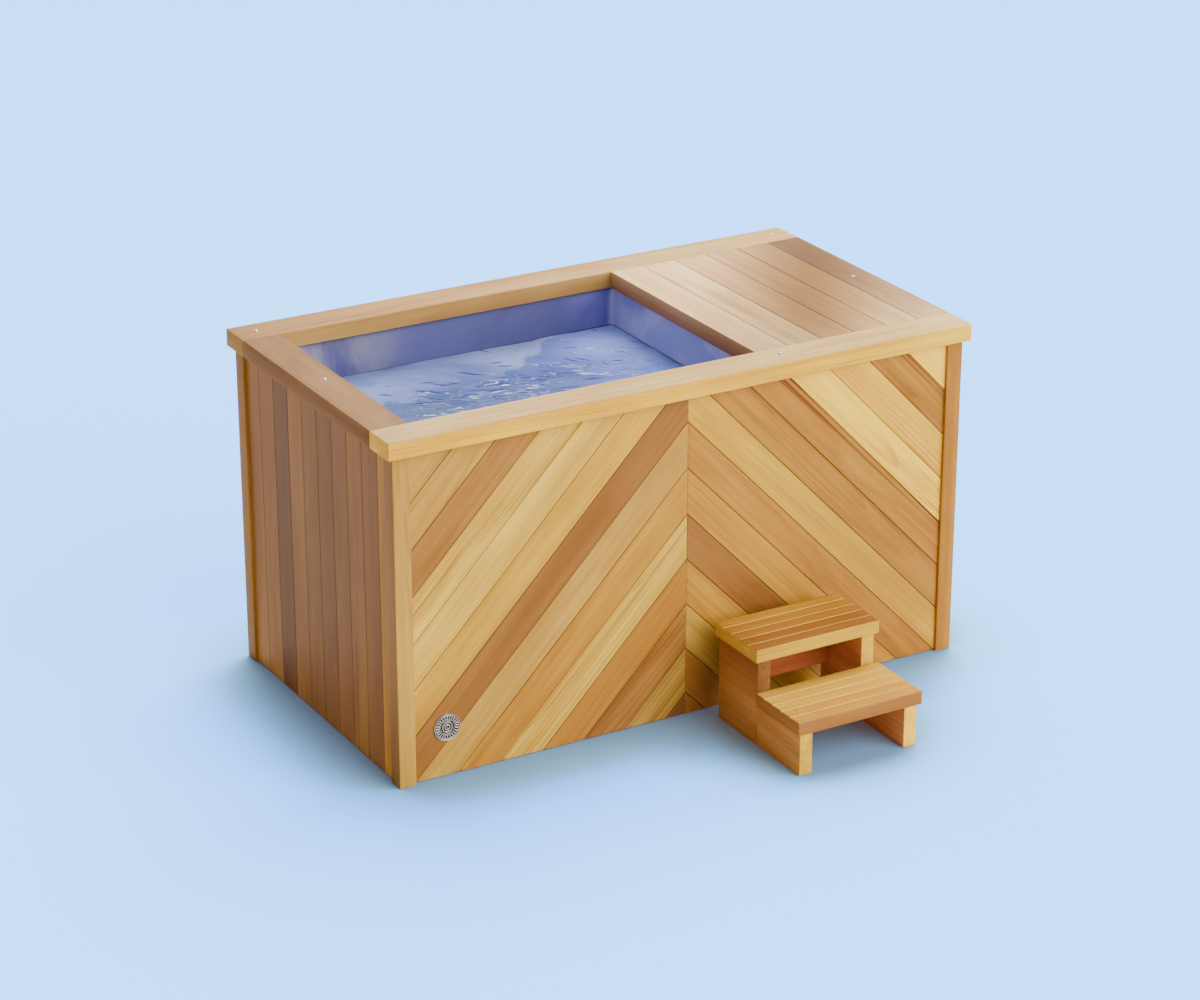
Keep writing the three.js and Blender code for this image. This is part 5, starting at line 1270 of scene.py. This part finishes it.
drain = {"x": 0.3066, "y": -0.270, "z": 0.170, "length": 0.092, "body": 0.027, "ball": 0.033, "outlet": 0.021,
         "bore": 0.013, "collar": 0.011, "leverHub": 0.014, "leverHole": 0.0066, "armHalf": 0.007,
         "gripWide": 0.018, "gripRound": 0.0028}


# Ball valve: hexagonal ends, a ball between them, a barbed outlet, and a stem with its nut
def valveShells():
    x, y, z, end, b, ball, out, bore, collar = pick(drain, "x y z length body ball outlet bore collar")
    bulge = bulged(b - 0.004, ball - b + 0.004, end / 2, 0.022)
    barbs = [(out - 0.002 * (i % 2), end + 0.002 + 0.0044 * i) for i in range(5)]
    profile = [(core, 0), (b - 0.001, 0), (b, 0.001), (b, 0.017), (b - 0.001, 0.018), (b - 0.004, 0.019),
               *bulge, (b - 0.004, end - 0.019), (b - 0.001, end - 0.018), (b, end - 0.017), (b, end - 0.001),
               (b - 0.001, end), (out - 0.002, end + 0.001), *barbs, (out - 0.003, end + 0.0255),
               (bore + 0.001, end + 0.026), (bore, end + 0.025), (bore, end), (core, end)]
    wave = hexagon(profile, 0.001, 0.017, 96) * hexagon(profile, end - 0.017, end - 0.001, 96)
    stem = [(core, 0.020), (0.016, 0.020), (0.016, 0.030), (collar, 0.033), (collar, 0.041), (0.010, 0.042),
            (0.006, 0.042), (0.006, 0.0486), (0.010, 0.0486), (0.010, 0.0546), (0.0085, 0.0556),
            (core, 0.0556)]
    return [turned(profile, 0, (x, y, z), 96, wave=wave),
            turned(stem, 2, (x + end / 2, y, z), wave=hexagon(stem, 0.0486, 0.0547, 48))]


addPiece(valveShells(), valveBrass, "brass", "drain_valve")

# Lever: an eye round the stem and a flat arm with a dipped vinyl grip, thicker and rounder than the arm
lo, hi = nodeBox("drain_lever")
m, y, thick = (lo[0] + hi[0]) / 2, drain["y"], hi[2] - lo[2]
hole, hub, half = drain["leverHole"], drain["leverHub"], drain["armHalf"]
eye = [(hole, 0), (hub - 0.001, 0), (hub, 0.001), (hub, thick - 0.001), (hub - 0.001, thick), (hole, thick)]
arm = bar((m - half, lo[1] + 0.006, lo[2] + 0.0012), (m + half, y - 0.0085, hi[2] - 0.0012), 1, 0.001)
lever = [turned(eye, 2, (m, y, lo[2]), closed=True), arm]
addPiece(lever, hingeSteel, "steel", "drain_lever", "drain_handle")


def blunted(u, least):
    past = np.maximum(np.abs(u) - 0.86, 0) / 0.14  # the round ends of a grip that runs from -1 to 1
    return np.sqrt(np.clip(1 - past**2, least, 1))


t = np.linspace(0, 1, 24)
fade = blunted(t * 2 - 1, 0.04)
wide, rounds = drain["gripWide"] * fade, drain["gripRound"] * fade
grip = lofted(1, lo[1] + (y - 0.030 - lo[1]) * t, m, (lo[2] + hi[2]) / 2, wide, thick * fade, rounds)
addPiece([grip], filterBlue, "filter_blue", body="drain_handle", name="leverGrip")

gland = {"back": 0.4097, "face": 0.4283, "nut": 0.014, "neck": 0.009, "bore": 0.0045, "grips": 16}


# Cable gland: a lock nut inside the cladding, a hexagon outside it and a ribbed dome round the cable's hole
def glandShell():
    lo, hi = nodeBox("cable_gland")
    (x, _, z), a, b = (lo + hi) / 2, lo[1], hi[1]
    back, face, nut, neck, bore, grips = pick(gland, "back face nut neck bore grips")
    profile = [(core, a + 0.003), (bore, a + 0.003), (bore, a), (nut - 0.001, a), (nut, a + 0.001),
               (nut, back - 0.001), (nut, back), (neck, back), (neck, face), (nut, face), (nut, face + 0.007),
               (0.0135, face + 0.008), (0.0125, face + 0.0085), (0.012, face + 0.011), (0.010, face + 0.0145),
               (0.0075, b), (0.0055, b), (bore, b - 0.001), (bore, b - 0.004), (core, b - 0.003)]
    wave = hexagon(profile, face, face + 0.0071, 96)
    wave = wave * ribs(profile, face + 0.0084, face + 0.0146, 96, grips, 0.08)
    return turned(profile, 1, (x, 0, z), 96, wave=wave)


addPiece([glandShell()], darkPlastic, "dark_plastic", "cable_gland")
print("drain valve and gland made")

hinge = {"x": 0.808, "y": 0.3885, "low": 0.042, "high": 0.821, "knuckles": 11, "gap": 0.0008,
         "radius": 0.0037, "pin": 0.002, "hole": 0.0026, "leaf": (0.8043, 0.8063), "near": 0.005,
         "wide": 0.034, "screws": 9, "screwEnd": 0.030}


# Piano hinge leaf on one side of the pin: plate, every second knuckle with its neck, and staggered screws
def hingeShells(side, own):
    h, (inside, outside), low, high = hinge, hinge["leaf"], hinge["low"], hinge["high"]
    near, far = h["y"] + side * h["near"], h["y"] + side * (h["near"] + h["wide"])
    made = [bar((inside, min(near, far), low), (outside, max(near, far), high), 2, 0.0006)]
    pitch, r, hole, p = (high - low) / h["knuckles"], h["radius"], h["hole"], h["pin"]
    for i in range(own, h["knuckles"], 2):
        a, b = low + i * pitch + h["gap"] / 2, low + (i + 1) * pitch - h["gap"] / 2
        ring = [(hole, a), (r - 0.0005, a), (r, a + 0.0005), (r, b - 0.0005), (r - 0.0005, b), (hole, b)]
        made.append(turned(ring, 2, (h["x"], h["y"], 0), 28, closed=True))
        inner, outer = sorted([h["y"] + side * 0.003, near + side * 0.001])
        made.append(bar((inside, inner, a), (outside, outer, b), 2, 0.0004))
    if own == 0:
        pin = [(core, low), (p - 0.0002, low), (p, low + 0.0006), (p, high - 0.0006), (p - 0.0002, high),
               (core, high)]
        made.append(turned(pin, 2, (h["x"], h["y"], 0), 24))
    for i, z in enumerate(np.linspace(low + h["screwEnd"], high - h["screwEnd"], h["screws"])):
        y = near + side * h["wide"] * (0.34 if i % 2 else 0.68)
        made.append(screwHead((outside, y, z), 0, 1, 0.0042, 0.0009))
    return made


addPiece(hingeShells(1, 0), hingeSteel, "steel", "hinge_fixed_leaf")
addPiece(hingeShells(-1, 1), hingeSteel, "steel", "hinge_door_leaf", "door")

latch = {"y": -0.346, "z": 0.450, "face": 0.8043, "rose": 0.022, "spindle": 0.006, "cam": (0.751, 0.757),
         "camHalf": 0.009, "camReach": 0.052, "gripHalf": 0.023}


# Latch: turned rose with its spindle, a waisted grip of half width 5.5 mm - 1.8 mm * cos^2, and the cam
def latchShells():
    y, z, x, r, spindle, half, reach, long = pick(latch, "y z face rose spindle camHalf camReach gripHalf")
    back, front = latch["cam"]
    rose = [(core, back), (spindle - 0.0005, back), (spindle, back + 0.0005), (spindle, x), (r - 0.0004, x),
            (r, x + 0.0006), (r - 0.0006, x + 0.0022), (r - 0.003, x + 0.0034), (r - 0.006, x + 0.0038),
            (r - 0.008, x + 0.0030), (r - 0.010, x + 0.0030), (core, x + 0.004)]
    u, foot, top = np.linspace(-1, 1, 41), x + 0.002, nodeBox("door_latch")[1][0]
    cap = blunted(u, 0.05)
    w = (0.0055 - 0.0018 * np.cos(u * np.pi / 2) ** 2) * cap
    d = (top - foot) * (0.90 + 0.10 * np.cos(u * np.pi)) * (0.6 + 0.4 * cap)
    return [turned(rose, 0, (0, y, z), 64),
            lofted(2, z + long * u, foot + d / 2, y, d, 2 * w, np.minimum(w, d / 2) * 0.6, 4),
            bar((back, y - half, z - half), (front, y + half, z + reach), 0, 0.0018),
            screwHead((back, y, z), 0, -1, 0.0055, 0.0001)]


addPiece(latchShells(), hingeSteel, "steel", "door_latch", "latch")
print("hinge and latch made")

finishes = {  # of the nodes that are carried over as they are
    "bearer_left": frameWood, "bearer_centre": frameWood, "bearer_right": frameWood,
    "deck_ledger_front": plywood, "deck_ledger_back": plywood, "base_panel": plywood,
    "bulkhead_lower": plywood, "bulkhead_upper": plywood,
    "insulation_front": insulationFoam, "insulation_back": insulationFoam, "insulation_left": insulationFoam,
}
for node, material in finishes.items():
    nodes[node].data.materials.clear()
    nodes[node].data.materials.append(material)
print("carried-over nodes finished")

# Floor, light and camera. The floor is pale blue to the eye, while the light it throws back on the wood is
# grey, as from white reflectors; beyond its edge the eye sees the same blue. To the eye the floor also glows,
# a painted light that is blue in the open and faint and warm in its nooks, where ambient occlusion also
# paints it a darker shade.
stage = {"floorHalf": 60.0, "floorColor": (0.23, 0.63, 1.0), "bounceColor": (0.56, 0.52, 0.48),
         "shadeLift": (0.06, 0.02, 0.012), "openLift": (0.0, 0.42, 2.5), "nook": 0.30,
         "nookColor": (0.14, 0.36, 0.64), "worldColor": (0.95, 0.97, 1.0), "worldStrength": 0.28,
         "backdropColor": (0.117, 0.43, 1.0), "backdropStrength": 5.4}

floorMesh = bpy.data.meshes.new("studioFloor")
h = stage["floorHalf"]
floorMesh.from_pydata([(-h, -h, 0), (h, -h, 0), (h, h, 0), (-h, h, 0)], [], [(0, 1, 2, 3)])
floorMaterial, tree = newMaterial("paleFloor")
seen = addNode(tree, "LightPath", output="Is Camera Ray")
free = addNode(tree, "AmbientOcclusion", {"Distance": stage["nook"]}, "AO", samples=8)
tint = free.smooth(0.45, 0.98).mix(stage["nookColor"], stage["floorColor"])
lift = free.smooth(0.72, 1.0).mix(stage["shadeLift"], stage["openLift"])
setShader(tree, {"Base Color": seen.mix(stage["bounceColor"], tint),
                 "Emission Color": seen.mix((0, 0, 0), lift), "Emission Strength": 1.0,
                 "Roughness": 0.9, "Specular IOR Level": 0.05})
floorMesh.materials.append(floorMaterial)
floorObject = bpy.data.objects.new("studioFloor", floorMesh)
floorObject.location.z = -0.0005
bpy.context.scene.collection.objects.link(floorObject)

world = bpy.data.worlds.new("softSky")
bpy.context.scene.world = world
world.use_nodes = True
tree = world.node_tree
background = tree.nodes["Background"]
background.inputs["Color"].default_value = (*stage["worldColor"], 1)
background.inputs["Strength"].default_value = stage["worldStrength"]
beyond = {"Color": stage["backdropColor"], "Strength": stage["backdropStrength"]}
backdrop = addNode(tree, "Background", beyond)
eyeRay = addNode(tree, "LightPath", output="Is Camera Ray")
either = addNode(tree, "MixShader", {0: eyeRay, 1: Signal(tree, background.outputs[0]), 2: backdrop})
plug(tree, either, tree.nodes["World Output"].inputs["Surface"])

lamps = {
    "keySun": {"kind": "SUN", "from": (0.42, -0.76, 0.50), "angle": 60, "power": 4.9,
               "color": (1.0, 0.96, 0.90)},
    "topSun": {"kind": "SUN", "from": (0.34, 0.40, 0.85), "angle": 50, "power": 7.3,
               "color": (1.0, 0.98, 0.95)},
    "sheenPanel": {"kind": "AREA", "from": (2.6, 5.4, 2.6), "at": (0.2, 0.0, 0.9), "size": (4.5, 2.4),
                   "power": 25, "color": (1.0, 0.99, 0.97)},
    "basinPanel": {"kind": "AREA", "from": (-0.75, -0.05, 1.45), "at": (0.25, 0.0, 0.78), "size": (0.5, 0.3),
                   "power": 6, "color": (1.0, 0.99, 0.97)},
}
for name, lamp in lamps.items():
    data = bpy.data.lights.new(name, lamp["kind"])
    data.energy = lamp["power"]
    data.color = lamp["color"]
    thing = bpy.data.objects.new(name, data)
    thing.location = lamp["from"]
    if lamp["kind"] == "SUN":
        data.angle = math.radians(lamp["angle"])
    else:
        data.shape = "RECTANGLE"
        data.size, data.size_y = lamp["size"]
        thing.visible_camera = False
    aim = Vector(lamp.get("at", (0, 0, 0))) - Vector(lamp["from"])
    thing.rotation_euler = aim.to_track_quat("-Z", "Y").to_euler()
    bpy.context.scene.collection.objects.link(thing)

viewpoint = {
    "eye": (-4.01859, -6.97689, 3.78532),
    "right": (0.86651343, -0.49915376, 0.0),
    "up": (0.19212176, 0.33351664, 0.92296039),
    "back": (-0.46069915, -0.79975757, 0.38489494),
    "focalPixels": 3406.7, "frameWide": 1200, "sensor": 36.0,
}
cameraData = bpy.data.cameras.new("photoCamera")
cameraData.sensor_width = viewpoint["sensor"]
cameraData.lens = viewpoint["focalPixels"] / viewpoint["frameWide"] * viewpoint["sensor"]
cameraData.clip_end = 200
camera = bpy.data.objects.new("photoCamera", cameraData)
axes = Matrix((viewpoint["right"], viewpoint["up"], viewpoint["back"])).transposed()
camera.matrix_world = Matrix.Translation(viewpoint["eye"]) @ axes.to_4x4()
bpy.context.scene.collection.objects.link(camera)
bpy.context.scene.camera = camera
print("stage ready")
